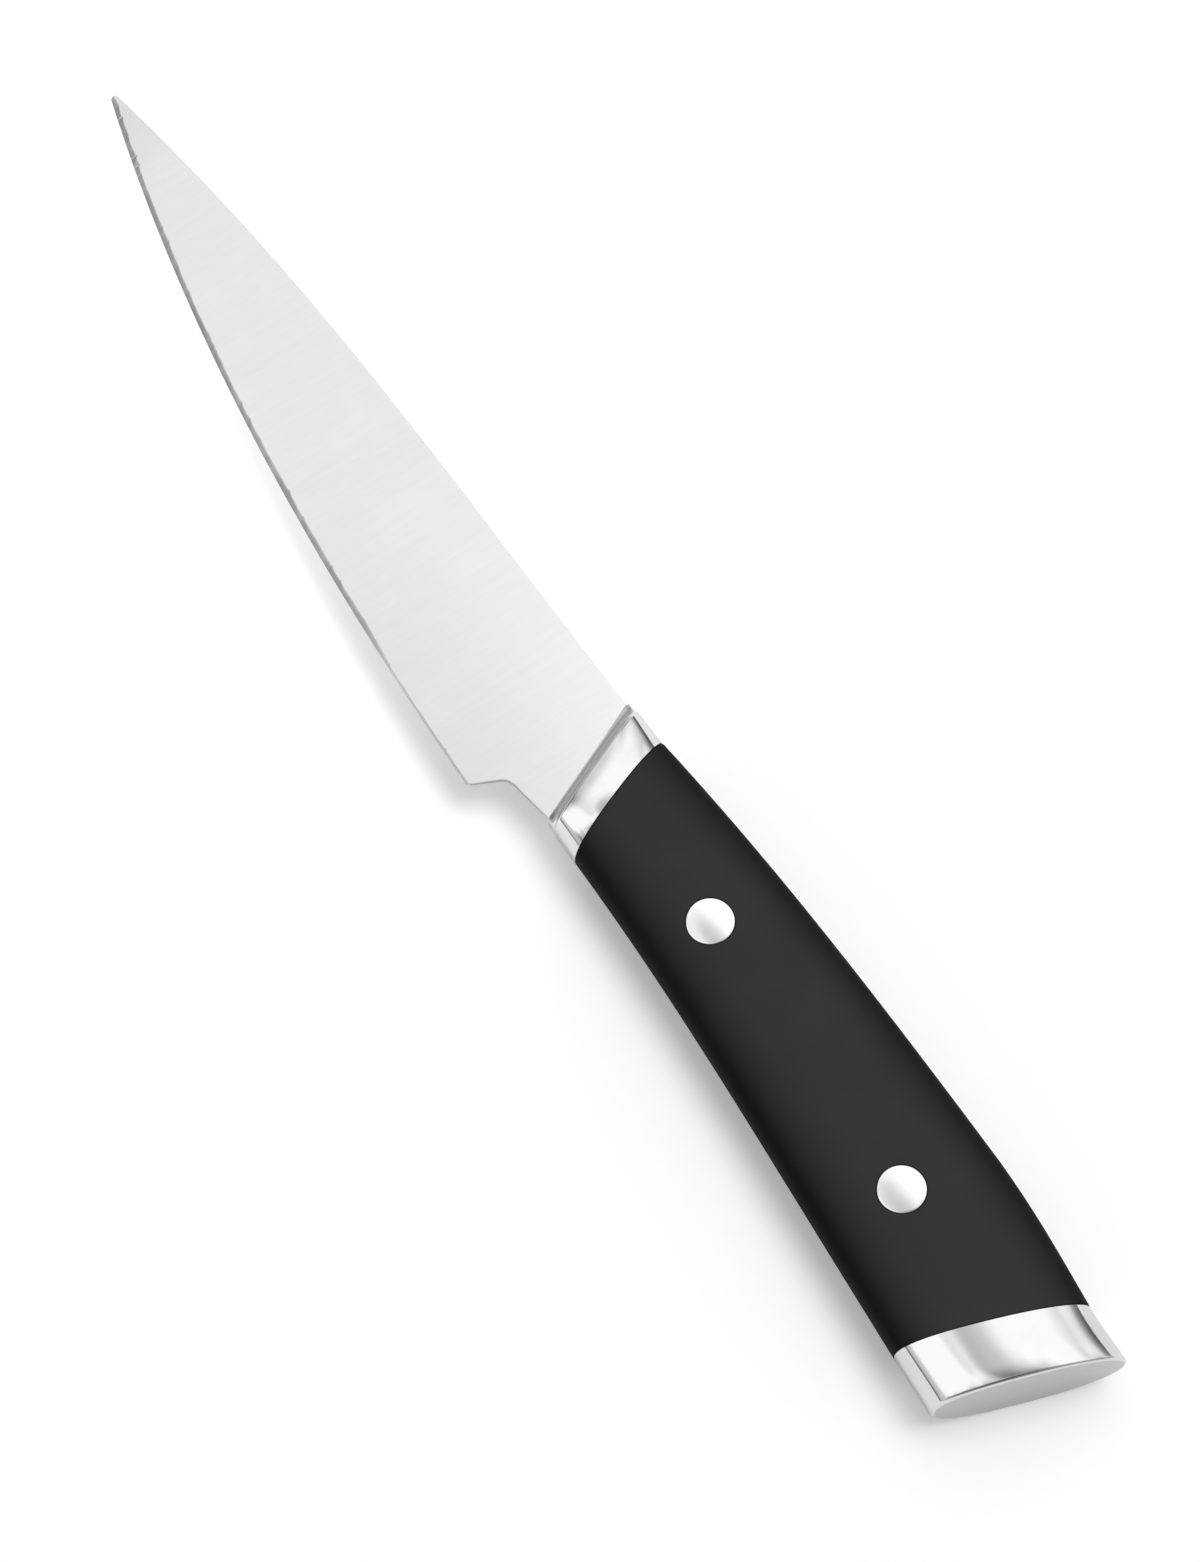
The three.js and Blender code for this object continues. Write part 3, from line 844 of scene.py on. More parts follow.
@dataclass(frozen=True)
class Blade:
    """The blade: two flat grinds, a cutting bevel, the notch behind the heel, and the tang.

    The eases run over shares of the way from the tip to the heel.
    """

    length: float = 126.6
    tip_radius: float = 0.6
    tip_spine_angle: float = 10.8
    root_spine_angle: float = 2.3
    tip_edge_angle: float = 15.8
    heel_edge_angle: float = 0.2
    heel_depth: float = 15.6
    heel_setback: float = 6.7
    heel_rake: float = 25.0
    notch_radius: float = 2.6
    neck_angle: float = 10.0
    spine_thickness: float = 2.4
    tip_thickness: float = 0.9
    thickness_behind_edge: float = 0.6
    root_rise: float = 9.35
    root_drop: float = 8.85
    root_slant: float = -24.0
    spine_easing: float = 0.2
    spine_fullness: float = 3.0
    bevel_width: float = 0.8
    bevel_bulge: float = 0.12
    bevel_rows: tuple[float, ...] = (0.0, 0.08, 0.3, 0.55, 1.0)
    # these darkness values set the painted shade on the bevel and the notch wall
    bevel_painted_shade_rows: tuple[float, ...] = (0.35, 0.65, 0.92, 1.0)
    notch_painted_shade: Pair = (0.85, 0.2)
    even_width: float = 0.96
    wobble: Ragged = Ragged(1.6, 7, 0.1)
    burrs: Ragged = Ragged(0.5, 13)
    burr_level: float = 0.6
    burr_share: float = 0.5
    heel_narrowing: Ease = Ease(0.76, 0.84, 0.55)
    even_dark: float = 0.84
    rear_dark: Ease = Ease(0.45, 0.7, 0.26)
    blotches: Ragged = Ragged(2.6, 11, 0.26)
    dark_limits: Pair = (0.5, 1.2)
    tip_dark: float = 0.55
    tip_darkening: Ease = Ease(0.08, 0.3, 0.45)
    heel_fading: Ease = Ease(0.74, 0.84, 0.7)
    border: float = 0.05
    border_share: float = 0.2
    edge_columns: int = 1300
    edge_crowding: float = 1.15
    tip_columns: int = 12
    notch_columns: int = 26
    rows: int = 10
    wall_rows: int = 5
    spine_rows: int = 13

    def root(self, y: Array | float) -> Array | float:
        """Place along the knife of the blade's rear end, a seam before the bolster."""
        return y * slope(self.root_slant) - SEAM

    def root_corner(self, y: float) -> Array:
        """Point of the rear end at a height."""
        return np.array((self.root(y), y))

    @property
    def heel(self) -> Array:
        """The corner at the rear of the cutting edge."""
        return np.array((-self.heel_setback, -self.heel_depth))

    @cached_property
    def plane(self) -> Array:
        """Constants (a, b, c) of the left flat, whose half thickness is a*x + b*y + c.

        It goes through the tip, the heel and the spine at the bolster.
        """
        corners = np.array([(-self.length, 0.0), self.heel, self.root_corner(self.root_rise)])
        thickness = (self.tip_thickness, self.thickness_behind_edge, self.spine_thickness)
        return np.linalg.solve(np.column_stack([corners, np.ones(3)]), np.array(thickness) / 2)

    def flat(self, points: Array) -> Array:
        """Half thickness of the blade at points of the side view."""
        return points[..., 0] * self.plane[0] + points[..., 1] * self.plane[1] + self.plane[2]

    def raised(self, points: Array, height: Array) -> Array:
        """Points of the side view with a height."""
        return np.concatenate([points, np.broadcast_to(height, points.shape[:-1])[..., None]], axis=-1)

    def tip_line(self, side: int) -> Array:
        """Quarter of the round tip, from the foremost point to the spine (1) or the edge (-1)."""
        angle = np.linspace(0, QUARTER, self.tip_columns, endpoint=False)
        arc = np.stack([1 - np.cos(angle), side * np.sin(angle)], axis=-1) * self.tip_radius
        return arc + (-self.length, 0.0)

    def notch_line(self) -> Array:
        """The notch from the heel up its raked back, round a hollow corner and along the neck."""
        heel, root = self.heel, self.root_corner(-self.root_drop)
        rake, neck = slope(self.heel_rake), slope(self.neck_angle)
        corner_x = (heel[0] + rake * (root[1] - neck * root[0] - heel[1])) / (1 - rake * neck)
        corner = np.array((corner_x, root[1] + neck * (corner_x - root[0])))
        up = (corner - heel) / np.linalg.norm(corner - heel)
        back = (root - corner) / np.linalg.norm(root - corner)
        turn = self.notch_radius * math.tan(math.acos(float(up @ back)) / 2)
        start, end = corner - up * turn, corner + back * turn
        t = np.linspace(0, 1, self.notch_columns)[:, None]
        rise = np.linspace(0, 1, self.notch_columns, endpoint=False)[:, None]
        arc = bend(start, corner, end, t)
        return np.concatenate([heel + (start - heel) * rise, arc, end + (root - end) * t[1:]])

    def outlines(self) -> tuple[Array, Array, Array, Array]:
        """Lines from the tip to the bolster, column by column.

        Returns:
            The spine, the cutting edge to the heel, the upper line of the bevel to the heel's back,
            and the notch from there.
        """
        shoulder = np.array((-self.length + self.tip_radius, self.tip_radius))
        t = np.linspace(0, 1, self.edge_columns) ** self.edge_crowding
        slopes = slope(np.array((self.tip_spine_angle, self.root_spine_angle)))
        heel_share = 1 - self.heel_setback / self.length
        spine = rail(shoulder, self.root_corner(self.root_rise), *slopes, t * heel_share)
        slopes = slope(np.array((-self.tip_edge_angle, -self.heel_edge_angle)))
        edge = rail(shoulder * (1, -1), self.heel, *slopes, t)
        spine = np.concatenate([self.tip_line(1), spine])
        edge = np.concatenate([self.tip_line(-1), edge])
        across = spine - edge
        width = np.linalg.norm(across, axis=-1)
        bevel = np.minimum(self.bevel(edge[:, 0]), width / 2)
        upper = edge + across / np.maximum(width, TINY)[:, None] * bevel[:, None]
        notch = self.notch_line()
        notch = notch[np.argmax(notch[:, 1] >= upper[-1, 1]):]
        upper = np.concatenate([upper, notch[:1]])
        edge = np.concatenate([edge, edge[-1:]])
        spine = np.concatenate([spine, spine[-1:]])
        return spine, edge, upper, notch

    def share(self, x: Array) -> Array:
        """Share of the way from the tip to the heel."""
        return (x + self.length) / (self.length - self.heel_setback)

    def bevel(self, x: Array) -> Array:
        """Width of the cutting bevel: ragged with burrs, and narrow before the heel."""
        burrs = np.clip(self.burrs(x) - self.burr_level, 0, 1)
        uneven = self.even_width + self.wobble(x) + self.burr_share * burrs
        return self.bevel_width * (1 - self.heel_narrowing(self.share(x))) * uneven

    def dark(self, x: Array) -> Array:
        """How much painted shade the cutting bevel gets: uneven along the edge, and faint at the heel."""
        share = self.share(x)
        uneven = self.even_dark + self.rear_dark(share) + self.blotches(x)
        tip = self.tip_dark + self.tip_darkening(share)
        return np.clip(uneven, *self.dark_limits) * tip * (1 - self.heel_fading(share))

    def build(self, shop: Workshop) -> Piece:
        """Makes the blade with its tang as one closed mesh.

        Each flat is ruled from the spine to the bevel's upper line and on to the notch. The bevel
        is ruled from that line to the edge on the middle plane, the notch and the spine are walls
        between both flats, and the tang carries on from the outline of the rear end.

        Args:
            shop: The forms and the placement.

        Returns:
            The blade.
        """
        spine, edge, upper, notch = self.outlines()
        run = np.linalg.norm(np.diff(notch, axis=0), axis=-1).cumsum()
        rest = self.root_corner(self.root_rise) - spine[-1]
        top = np.concatenate([spine, spine[-1] + rest * (run / run[-1])[:, None]])
        low = np.concatenate([upper, notch[1:]])
        across = low - top
        width = np.maximum(np.linalg.norm(across, axis=-1, keepdims=True), TINY)
        eased = top + across / width * np.minimum(self.spine_easing, width / 3)
        w = self.steps(width)[..., None]
        side = eased[:, None, :] * (1 - w) + low[:, None, :] * w
        left = self.raised(side, self.flat(side))
        v = np.array(self.bevel_rows)[None, :, None]
        lift = self.flat(upper)[:, None] * (1 - v[..., 0]) * (1 + self.bevel_bulge * v[..., 0])
        bevel = self.raised(upper[:, None, :] * (1 - v) + edge[:, None, :] * v, lift)
        # painted shade on the bevel, as a face mark for each column
        dark = self.dark((edge[:-1, 0] + edge[1:, 0]) / 2)[:, None] * np.array(self.bevel_painted_shade_rows)
        mirror = np.array((1, 1, -1))
        shell = Shell("ground_blade", shop.place)
        for flip in (1, mirror):
            shell.grid(left * flip)
            shell.grid(bevel * flip, dark)
        ridge = self.ridge(top, eased, bevel[0, :, 2])
        shell.grid(ridge)
        heel = bevel[-1, ::-1]
        shell.grid(self.wall(heel[:, :2], heel[:, 2]))
        # painted shade on the notch wall, strongest at the heel and fading to the neck
        back = self.wall(notch, self.flat(notch))
        shell.grid(back, np.linspace(*self.notch_painted_shade, len(notch) - 1))
        right = (left[-1] * mirror)[::-1]
        rear = np.concatenate([left[-1], back[-1, 1:], right[1:], ridge[-1][::-1][1:-1]])
        tang = self.tang_rings(shop.tang)
        shell.grid(np.concatenate([rear[None], tang]), wrap=True)
        shell.face(tang[-1])
        return shell.build("painted_edge_shade")

    def wall(self, line: Array, half: Array) -> Array:
        """Rows of points across the thickness along a line, from left to right."""
        across = np.linspace(1, -1, self.wall_rows)[None, :]
        return self.raised(np.repeat(line[:, None, :], self.wall_rows, 1), half[:, None] * across)

    def ridge(self, top: Array, eased: Array, point: Array) -> Array:
        """The rounded spine between the flats, from left to right.

        Args:
            top: Points of the spine line.
            eased: Points below them where the flats end.
            point: Heights of the bevel at the tip, which the ridge takes over there.

        Returns:
            Points with axes (column, row, xyz).
        """
        turn = np.linspace(0, np.pi, self.spine_rows)[None, :]
        power = 2 / self.spine_fullness
        swing = np.sign(np.cos(turn)) * np.abs(np.cos(turn)) ** power
        stand = np.abs(np.sin(turn)) ** power
        line = eased[:, None, :] + (top - eased)[:, None, :] * stand[..., None]
        ridge = self.raised(line, self.flat(eased)[:, None] * swing)
        both = np.concatenate([point, -point[-2::-1]])
        ridge[0, :, 2] = both[np.rint(np.linspace(0, len(both) - 1, self.spine_rows)).astype(int)]
        return ridge

    def steps(self, width: Array) -> Array:
        """Places across the flat from 0 to 1: even, but for one close to each border.

        The close ones keep the shading flat up to the spine and the bevel.

        Args:
            width: Width of the flat at each column, as one column of an array.

        Returns:
            Places with axes (column, row).
        """
        margin = np.minimum(self.border / width, self.border_share)
        inner = margin + (1 - 2 * margin) * np.linspace(0, 1, self.rows - 2)
        return np.concatenate([np.zeros_like(margin), inner, np.ones_like(margin)], axis=1)

    def tang_rings(self, tang: TangForm) -> Array:
        """Rings of the tang, each with as many points on its sides as the blade's rear end has.

        Args:
            tang: The tang's sizes.

        Returns:
            Points with axes (ring, point, xyz), the sides in the order left, belly, right, spine.
        """
        counts = (self.rows - 1, self.wall_rows - 1, self.rows - 1, self.spine_rows - 1)
        corners = np.array([(1, 1), (-1, 1), (-1, -1), (1, -1), (1, 1)], float)
        loop = np.concatenate([
            corners[k] + (corners[k + 1] - corners[k]) * np.linspace(0, 1, n, endpoint=False)[:, None]
            for k, n in enumerate(counts)
        ])
        rings = []
        for number, (x, height, thick) in enumerate(tang.sections(0.0)):
            y = loop[:, 0] * height
            along = self.root(y) if number == 0 else np.full(len(y), x)
            rings.append(np.column_stack([along, y, loop[:, 1] * thick]))
        return np.stack(rings)


@dataclass(frozen=True)
class Bolster:
    """The polished collar: a thin foot at the blade, a hollow face, and a dome up to the grip."""

    length: float = 7.4
    foot_thickness: float = 2.8
    fillet: float = 2.1
    splay: float = 0.5
    squareness: float = 1.2
    foot_squareness: float = 3.0
    corner: float = 0.35
    corner_rows: int = 9
    # the lapped mark on the fillet also paints shade into it
    lapping: float = 0.62
    lapped: Ease = Ease(0.3, 0.95)
    points: int = 256
    rings: int = 60

    def profile(self, handle: HandleForm) -> tuple[Array, Array]:
        """Place along the bolster and half thickness there, from the foot to the grip.

        The hollow face is a parabola from level to upright, and the dome a parabola that ends
        level at the grip. Their corner is cut by an arc of short straight pieces.

        Args:
            handle: The handle's form.

        Returns:
            The places and the half thicknesses.
        """
        foot = self.foot_thickness / 2
        shoulder = handle.at(Mark.BOLSTER_FRONT).thickness / 2
        grip = handle.at(Mark.GRIP_FRONT).thickness / 2
        knots = np.array([
            (0, foot),
            (self.fillet, foot + self.splay),
            (self.fillet, shoulder),
            ((self.fillet + self.length) / 2, grip),
            (self.length, grip),
        ])
        t = np.linspace(0, 1, self.rings)[:, None]
        hollow, dome = bend(*knots[:3], t), bend(*knots[2:], t)
        hollow = hollow[hollow[:, 1] < shoulder - self.corner]
        dome = dome[dome[:, 0] > self.fillet + self.corner]
        turn = np.linspace(0, 1, self.corner_rows)[1:-1, None]
        rounded = bend(hollow[-1], knots[2], dome[0], turn)
        line = np.concatenate([hollow, rounded, dome])
        return line[:, 0], line[:, 1]

    def build(self, shop: Workshop) -> Piece:
        """Lofts the bolster along its profile and cuts the tang's slot through it."""
        x, half = self.profile(shop.handle)
        t = x / self.length
        square = self.squareness * (1 - t) + self.foot_squareness * (1 - Ease(0, self.fillet)(x))
        middle = (x[:-1] + x[1:]) / 2 / self.fillet
        shell = Shell("polished_bolster", shop.place)
        shell.loft(
            shop.handle.rings(t, around_oval(self.points), half, square),
            self.lapping * (1 - self.lapped(middle)),
        )
        piece = shell.build("lapped")
        cut(piece, [shop.tang.pocket(shop.place)])
        return piece


class Side(Enum):
    """Sides of the knife as it lies: left is up."""

    LEFT = 1
    RIGHT = -1


@dataclass(frozen=True)
class Rivet:
    """A two-piece rivet: a solid pin half pressed into a hollow sleeve half."""

    name: str
    x: float
    head_diameter: float = 6.7
    head_depth: float = 1.6
    sleeve_diameter: float = 4.4
    pin_diameter: float = 2.8
    floor: float = 0.6
    crown: float = 0.12
    rim: float = 0.12
    hole_reach: float = 20.0
    points: int = 96
    head_rings: int = 24
    rim_rings: int = 7

    def seat(self, handle: HandleForm) -> float:
        """Height of the head's underside over the middle plane."""
        return float(handle.height(np.array([self.x]), np.array([0.0]))[0]) - self.head_depth

    def spun(self, profile: Array) -> Array:
        """Rings of a profile of radius and height, turned round the rivet's axis."""
        turn = around_oval(self.points)
        r, z = profile.T[:, :, None]
        return np.stack([self.x + r * np.cos(turn), r * np.sin(turn), z + 0 * turn], axis=-1)

    def turned(self, name: str, inner: Array, shop: Workshop, side: Side) -> Piece:
        """A half of the rivet, turned round its axis, its head crowned over the grip's surface.

        The head's height over a point is that of the grip plus a crown that falls with the square
        of the radius, less a round rim.

        Args:
            name: Name of the piece.
            inner: Radius and height of the profile from the head's underside to the far end.
            shop: The forms and the placement.
            side: Side of the knife that shows the head.

        Returns:
            The piece.
        """
        radius = self.head_diameter / 2
        rim = self.rim * (1 - np.sin(np.linspace(0, QUARTER, self.rim_rings)[1:]))
        r = np.concatenate([np.linspace(0, radius - self.rim, self.head_rings), radius - rim])
        over = ((r - radius) / self.rim + 1).clip(0, 1)
        drop = self.rim * (1 - np.sqrt(1 - over**2))
        head = self.spun(np.stack([r, self.crown * (1 - (r / radius) ** 2) - drop], axis=-1))
        head[..., 2] += shop.handle.height(head[..., 0], head[..., 1])
        shell = Shell(name, shop.place)
        shell.grid(np.concatenate([head, self.spun(inner)]) * (1, 1, side.value), wrap=True)
        return shell.build()

    def pin(self, shop: Workshop) -> Piece:
        """The solid half, its head on the left side."""
        seat = self.seat(shop.handle)
        end = seat - self.floor - RIVET_CLEARANCE
        shank = self.pin_diameter / 2
        inner = [(self.head_diameter / 2, seat), (shank, seat), (shank, -end), (0, -end)]
        return self.turned(f"{self.name}_rivet_pin_turned", np.array(inner), shop, Side.LEFT)

    def sleeve(self, shop: Workshop) -> Piece:
        """The hollow half, its head on the right side."""
        seat = self.seat(shop.handle)
        end, bottom = seat - RIVET_CLEARANCE, seat - self.floor
        outer, bore = self.sleeve_diameter / 2, self.pin_diameter / 2 + RIVET_CLEARANCE
        inner = [
            (self.head_diameter / 2, seat), (outer, seat), (outer, -end),
            (bore, -end), (bore, bottom), (0, bottom),
        ]
        return self.turned(f"{self.name}_rivet_sleeve_turned", np.array(inner), shop, Side.RIGHT)

    def hole(self, shop: Workshop, side: Side | None) -> Piece:
        """The hole for the rivet: with a recess for the head on one side, or plain for the tang."""
        far = self.hole_reach
        shaft = self.sleeve_diameter / 2 + RIVET_CLEARANCE
        profile = [(0, -far), (shaft, -far), (shaft, far), (0, far)]
        if side:
            head = self.head_diameter / 2 + RIVET_CLEARANCE
            seat = self.seat(shop.handle) - RIVET_CLEARANCE
            profile[2:] = [(shaft, seat), (head, seat), (head, far), (0, far)]
        flip = (1, 1, side.value if side else 1)
        shell = Shell("rivet_hole", shop.place)
        shell.grid(self.spun(np.array(profile, float)) * flip, wrap=True)
        return shell.build()


@dataclass(frozen=True)
class Scale:
    """One moulded half of the grip, eased at its ends and flat along the middle seam."""

    side: Side
    easing: float = 0.18
    easing_rings: int = 7
    points: int = 160
    seam_points: int = 12
    rings: int = 260

    def build(self, shop: Workshop, rivets: Sequence[Rivet]) -> Piece:
        """Lofts the half grip, closes it on the seam, and cuts the tang's pocket and the holes.

        Near both ends the section shrinks by a quarter circle of the easing.

        Args:
            shop: The forms and the placement.
            rivets: The rivets that go through it.

        Returns:
            The scale.
        """
        handle = shop.handle
        front, rear = handle.at(Mark.GRIP_FRONT).x + SEAM, handle.at(Mark.GRIP_REAR).x - SEAM
        ease = self.easing * (1 - np.cos(np.linspace(0, QUARTER, self.easing_rings)))
        middle = np.linspace(front + self.easing, rear - self.easing, self.rings)[1:-1]
        x = np.concatenate([front + ease, middle, (rear - ease)[::-1]])
        near = np.minimum(x - front, rear - x).clip(0, self.easing) / self.easing
        inset = self.easing * (1 - np.sqrt(1 - (1 - near) ** 2))
        rings = handle.rings(handle.places(x), np.linspace(0, np.pi, self.points), inset=inset)
        rings[..., 2] = np.maximum(rings[..., 2], SEAM / 2)
        shell = Shell(f"{self.side.name.lower()}_moulded_scale", shop.place)
        closed = np.concatenate([rings, self.seam_line(rings)], axis=1)
        shell.loft(closed * (1, 1, self.side.value))
        piece = shell.build()
        holes = [rivet.hole(shop, self.side) for rivet in rivets]
        cut(piece, [shop.tang.pocket(shop.place), *holes])
        return piece

    def seam_line(self, rings: Array) -> Array:
        """Points that lead back along the seam from the belly to the spine."""
        t = np.linspace(0, 1, self.seam_points)[1:-1][None, :, None]
        return rings[:, -1:, :] * (1 - t) + rings[:, :1, :] * t


@dataclass(frozen=True)
class EndCap:
    """The polished butt cap, slotted over the tang's end, with a lapped end face in painted shade."""

    edge_radius: float = 0.5
    edge_rings: int = 13
    crown: float = 0.25
    crown_power: float = 6.0
    points: int = 256
    rings: int = 60

    def build(self, shop: Workshop) -> Piece:
        """Lofts the cap, its sides crowned towards a round end edge, and cuts the tang's pocket."""
        handle = shop.handle
        front, butt = handle.at(Mark.GRIP_REAR).x, handle.at(Mark.BUTT).x
        turn = np.linspace(0, QUARTER, self.edge_rings)
        x = np.concatenate([
            np.linspace(front, butt - self.edge_radius, self.rings)[:-1],
            butt - self.edge_radius * (1 - np.sin(turn)),
        ])
        inset = np.concatenate([np.zeros(self.rings - 1), self.edge_radius * (1 - np.cos(turn))])
        place = handle.places(x)
        half = handle.half(place) - self.crown * ((x - front) / (butt - front)) ** self.crown_power
        shell = Shell("polished_end_cap", shop.place)
        # the end face's mark makes it rougher and paints shade on it
        shell.loft(handle.rings(place, around_oval(self.points), half, inset=inset), end_mark=1.0)
        piece = shell.build("lapped")
        cut(piece, [shop.tang.pocket(shop.place)])
        return piece


class Rays(Enum):
    """Which rays meet a patch of the sky: all, those from the eye and gloss, or those from matt."""

    ALL = 0
    GLOSS = 1
    MATT = 2


@dataclass(frozen=True)
class SoftPatch:
    """A soft round patch of the studio's sky, brighter or darker than what is round it."""

    towards: Triple
    inner: float
    outer: float
    strength: float
    rays: Rays = Rays.ALL


@dataclass(frozen=True)
class Studio:
    """White floor, one lamp and a soft sky: dark low down, and brightest on the spine side.

    The sky is a bright strip over the blade in a duller surround. Its bands are (place, level)
    from the belly side to the spine side, and its spans are parts of a direction's X, Y or Z.
    """

    floor_size: float = 40.0
    floor_shade: float = 0.78
    floor_glow: float = 0.29
    gloss_glow: float = 0.1
    level: float = 0.77
    low_sky: float = 0.08
    belly_haze: float = 0.16
    spine_haze: float = 0.42
    haze_span: Pair = (-0.3, 0.3)
    outer_haze: float = 0.9
    outer_belly: float = 0.2
    outer_spine: float = 0.8
    outer_span: Pair = (-0.35, 0.45)
    surround: float = 0.65
    surround_span: Pair = (0.3, 0.5)
    strip_middle: float = -0.33
    strip_span: Pair = (0.12, 0.36)
    seen_peak: float = 1.45
    lit_peak: float = 10.0
    peak: float = 1.8
    bands: tuple[Pair, ...] = (
        (-1.0, 0.8), (-0.6, 0.85), (-0.3, 1.12),
        (0.0, 1.34), (0.25, 1.52), (0.5, 1.5),
        (0.65, 1.38), (0.8, 1.1), (1.0, 0.6),
    )
    patches: tuple[SoftPatch, ...] = (
        SoftPatch((-0.32, -0.80, 0.50), 5.0, 18.0, 0.75, Rays.GLOSS),
        SoftPatch((-0.32, -0.55, 0.77), 5.0, 18.0, 0.5, Rays.GLOSS),
        SoftPatch((-0.01, -0.78, 0.63), 5.0, 14.0, 0.5, Rays.GLOSS),
        SoftPatch((-0.02, -0.50, 0.86), 5.0, 20.0, 0.6, Rays.GLOSS),
        SoftPatch((0.00, -0.20, 0.98), 4.0, 13.0, 0.45, Rays.GLOSS),
        SoftPatch((0.12, 0.58, 0.80), 8.0, 22.0, 0.6, Rays.GLOSS),
        SoftPatch((0.00, 0.90, 0.43), 5.0, 16.0, 0.5, Rays.GLOSS),
        SoftPatch((0.04, 0.14, 0.99), 2.0, 8.0, -0.25, Rays.GLOSS),
        SoftPatch((-0.72, 0.05, 0.69), 6.0, 22.0, 0.5),
        SoftPatch((0.38, 0.04, 0.92), 4.0, 18.0, -0.4),
        SoftPatch((-0.19, 0.03, 0.98), 3.0, 13.0, -0.6),
        SoftPatch((0.1, 0.27, 0.957), 5.0, 22.0, 8.6, Rays.MATT),
    )
    lamp_place: Triple = (-0.10, -0.56, 0.26)
    lamp_target: Triple = (-0.10, -0.02, 0.0)
    lamp_power: float = 36.0
    lamp_cone: float = 15.5
    lamp_radius: float = 0.08

    def build(self) -> None:
        """Makes the floor, the sky and the lamp."""
        self.floor()
        self.sky()
        self.lamp()

    def floor(self) -> None:
        """A wide pale floor under the knife that keeps its shadow and glows a little for the eye."""
        half = self.floor_size / 2
        corners = [(-half, -half, 0), (half, -half, 0), (half, half, 0), (-half, half, 0)]
        mesh = bpy.data.meshes.new("floor")
        mesh.from_pydata(corners, [], [(0, 1, 2, 3)])
        piece = show("floor", mesh)
        material = bpy.data.materials.new("pale_floor")
        material.use_nodes = True
        desk = NodeDesk(material.node_tree)
        desk.tree.nodes.clear()
        paper = desk.out("BsdfDiffuse", {"Color": grey(self.floor_shade)})
        path = desk.add("LightPath").outputs
        shown = desk.math("MULTIPLY", self.seen_rays(desk), self.gloss_glow)
        shown = desk.math("MAXIMUM", shown, desk.math("MULTIPLY", path["Is Camera Ray"], self.floor_glow))
        glow = desk.out("Emission", {"Strength": shown})
        desk.add("OutputMaterial", {"Surface": desk.out("AddShader", {0: paper, 1: glow})})
        mesh.materials.append(material)

    def sky(self) -> None:
        """A world that lights the knife like a soft studio, with its patches added up and capped."""
        world = bpy.data.worlds.new("studio")
        bpy.context.scene.world = world
        world.use_nodes = True
        desk = NodeDesk(world.node_tree)
        desk.tree.nodes.clear()
        towards = desk.add("TexCoord").outputs["Generated"]
        axes = desk.add("SeparateXYZ", {0: towards}).outputs
        ramp = desk.add("ValToRGB", {0: desk.tune(axes["Y"], 0.5, 0.5)})
        ramp.color_ramp.interpolation = "B_SPLINE"
        stops = ramp.color_ramp.elements
        for number, (place, value) in enumerate(self.bands):
            stop = stops[number] if number < 2 else stops.new(1.0)
            stop.position = (place + 1) / 2
            stop.color = grey(value / self.peak)
        haze = desk.span(axes["Y"], *self.haze_span, self.belly_haze, self.spine_haze)
        strip = self.rising(desk, axes["Z"], haze, desk.math("MULTIPLY", ramp.outputs[0], self.peak))
        level = desk.span(axes["Y"], *self.outer_span, self.outer_belly, self.outer_spine)
        outer = self.rising(desk, axes["Z"], self.outer_haze, level)
        seen = self.seen_rays(desk)
        low = desk.span(axes["Z"], *self.surround_span, self.surround, 0.0)
        outer = desk.math("MAXIMUM", outer, desk.math("MULTIPLY", low, seen))
        aside = desk.math("ABSOLUTE", desk.math("SUBTRACT", axes["X"], self.strip_middle))
        light = desk.mix(desk.span(aside, *self.strip_span, 0.0, 1.0), strip, outer)
        met = {Rays.ALL: 1.0, Rays.GLOSS: seen, Rays.MATT: desk.math("SUBTRACT", 1.0, seen)}
        for patch in self.patches:
            ways = {0: towards, 1: Vector(patch.towards).normalized()}
            near = desk.add("VectorMath", ways, operation="DOT_PRODUCT").outputs["Value"]
            limits = math.cos(math.radians(patch.outer)), math.cos(math.radians(patch.inner))
            strength = desk.math("MULTIPLY", met[patch.rays], patch.strength)
            light = desk.math("ADD", light, desk.span(near, *limits, 0.0, strength))
        peak = desk.mix(seen, self.lit_peak, self.seen_peak)
        strength = desk.math("MINIMUM", desk.math("MAXIMUM", light, 0.0), peak)
        strength = desk.math("MULTIPLY", strength, self.level)
        shine = desk.out("Background", {"Color": grey(1.0), "Strength": strength})
        desk.add("OutputWorld", {"Surface": shine})

    def rising(self, desk: NodeDesk, height: Socket, haze: object, level: Socket) -> Socket:
        """Sky that rises smoothly from the low sky at the horizon to a level at the haze's height."""
        share = desk.span(desk.math("DIVIDE", height, haze), 0.0, 1.0, 0.0, 1.0)
        return desk.mix(share, self.low_sky, level)

    def lamp(self) -> None:
        """A soft lamp on the belly side that fills the shadow beside the blade."""
        light = bpy.data.lights.new("blade_lamp", "SPOT")
        light.energy = self.lamp_power
        light.spot_size = math.radians(self.lamp_cone)
        light.spot_blend = 1.0
        light.shadow_soft_size = self.lamp_radius
        piece = show("blade_lamp", light)
        piece.visible_glossy = False
        place, target = Vector(self.lamp_place), Vector(self.lamp_target)
        turn = (target - place).to_track_quat("-Z", "Y").to_matrix().to_4x4()
        piece.matrix_world = Matrix.Translation(place) @ turn

    @staticmethod
    def seen_rays(desk: NodeDesk) -> Socket:
        """One for rays from the camera or from a gloss or glass, else zero."""
        path = desk.add("LightPath").outputs
        gloss = desk.math("MAXIMUM", path["Is Glossy Ray"], path["Is Transmission Ray"])
        return desk.math("MAXIMUM", path["Is Camera Ray"], gloss)


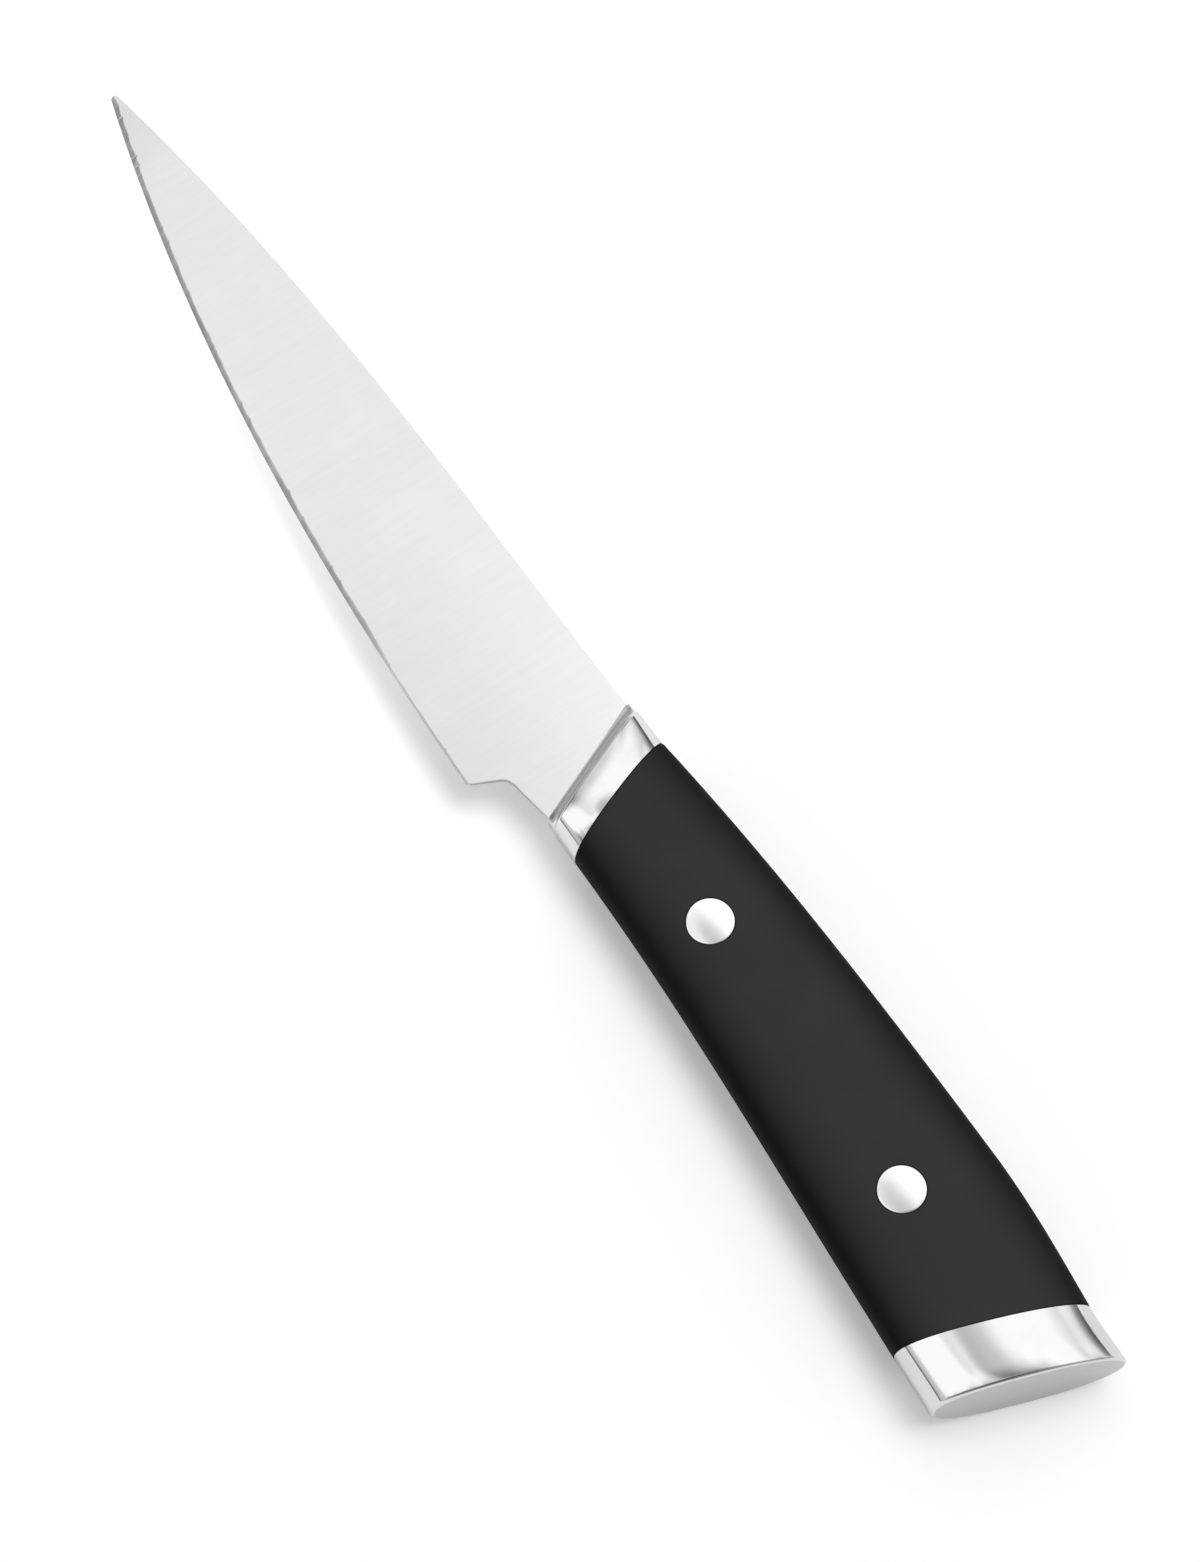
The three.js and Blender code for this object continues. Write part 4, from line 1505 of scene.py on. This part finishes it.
@dataclass(frozen=True)
class Eye:
    """The camera, placed as the picture was taken."""

    position: Triple = (227.54, -141.85, 649.25)
    towards: Triple = (-0.31291, 0.20595, -0.92718)
    up: Triple = (-0.77448, 0.50975, 0.37461)
    focal_pixels: float = 5000.0
    picture_height: float = 1562.0
    sensor: float = 36.0
    clip: Pair = (0.01, 100.0)

    def build(self) -> None:
        """Makes the camera and gives it to the scene."""
        camera = bpy.data.cameras.new("eye")
        camera.sensor_width = self.sensor
        camera.lens = self.sensor * self.focal_pixels / self.picture_height
        camera.clip_start, camera.clip_end = self.clip
        piece = show("eye", camera)
        back = -Vector(self.towards).normalized()
        up = Vector(self.up).normalized()
        turn = Matrix((up.cross(back), up, back)).transposed().to_4x4()
        piece.matrix_world = Matrix.Translation(Vector(self.position) * MM) @ turn
        bpy.context.scene.camera = piece


def placement(blade: Blade) -> Placement:
    """Where the drawing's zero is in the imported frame, from the blade's tip, heel and middle plane."""
    low, high = (np.array(corner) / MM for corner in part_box("blade"))
    return Placement((low[0] + blade.length, low[1] + blade.heel_depth, (low[2] + high[2]) / 2))


def main() -> None:
    """Builds the knife, dresses it, and sets up the studio and the camera."""
    logging.basicConfig(level=logging.INFO, format="%(name)s: %(message)s")
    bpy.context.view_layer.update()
    blade = Blade()
    shop = Workshop(placement(blade))
    effects = Effects()
    steel = SatinSteel(corner=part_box("blade")[0][:2], length=blade.length * MM)
    plastic = BlackPlastic(middle=shop.place.shift[2] * MM)
    for finish in (steel, PolishedSteel(), RivetSteel(), plastic):
        shop.finishes[finish.name] = finish.make(effects)
    rivets = (Rivet("front", 30.4), Rivet("rear", 76.0))
    piece = blade.build(shop)
    cut(piece, [rivet.hole(shop, None) for rivet in rivets])
    shop.dress(piece, "blade", "satin_steel")
    shop.dress(Bolster().build(shop), "bolster", "polished_steel")
    for side in Side:
        name = f"{side.name.lower()}_scale"
        shop.dress(Scale(side).build(shop, rivets), name, "black_plastic")
    for rivet in rivets:
        shop.dress(rivet.pin(shop), f"{rivet.name}_rivet_pin", "rivet_steel")
        shop.dress(rivet.sleeve(shop), f"{rivet.name}_rivet_sleeve", "rivet_steel")
    shop.dress(EndCap().build(shop), "end_cap", "polished_steel")
    Studio().build()
    Eye().build()
    bpy.context.scene.view_settings.view_transform = "Standard"


if __name__ == "__main__":
    main()
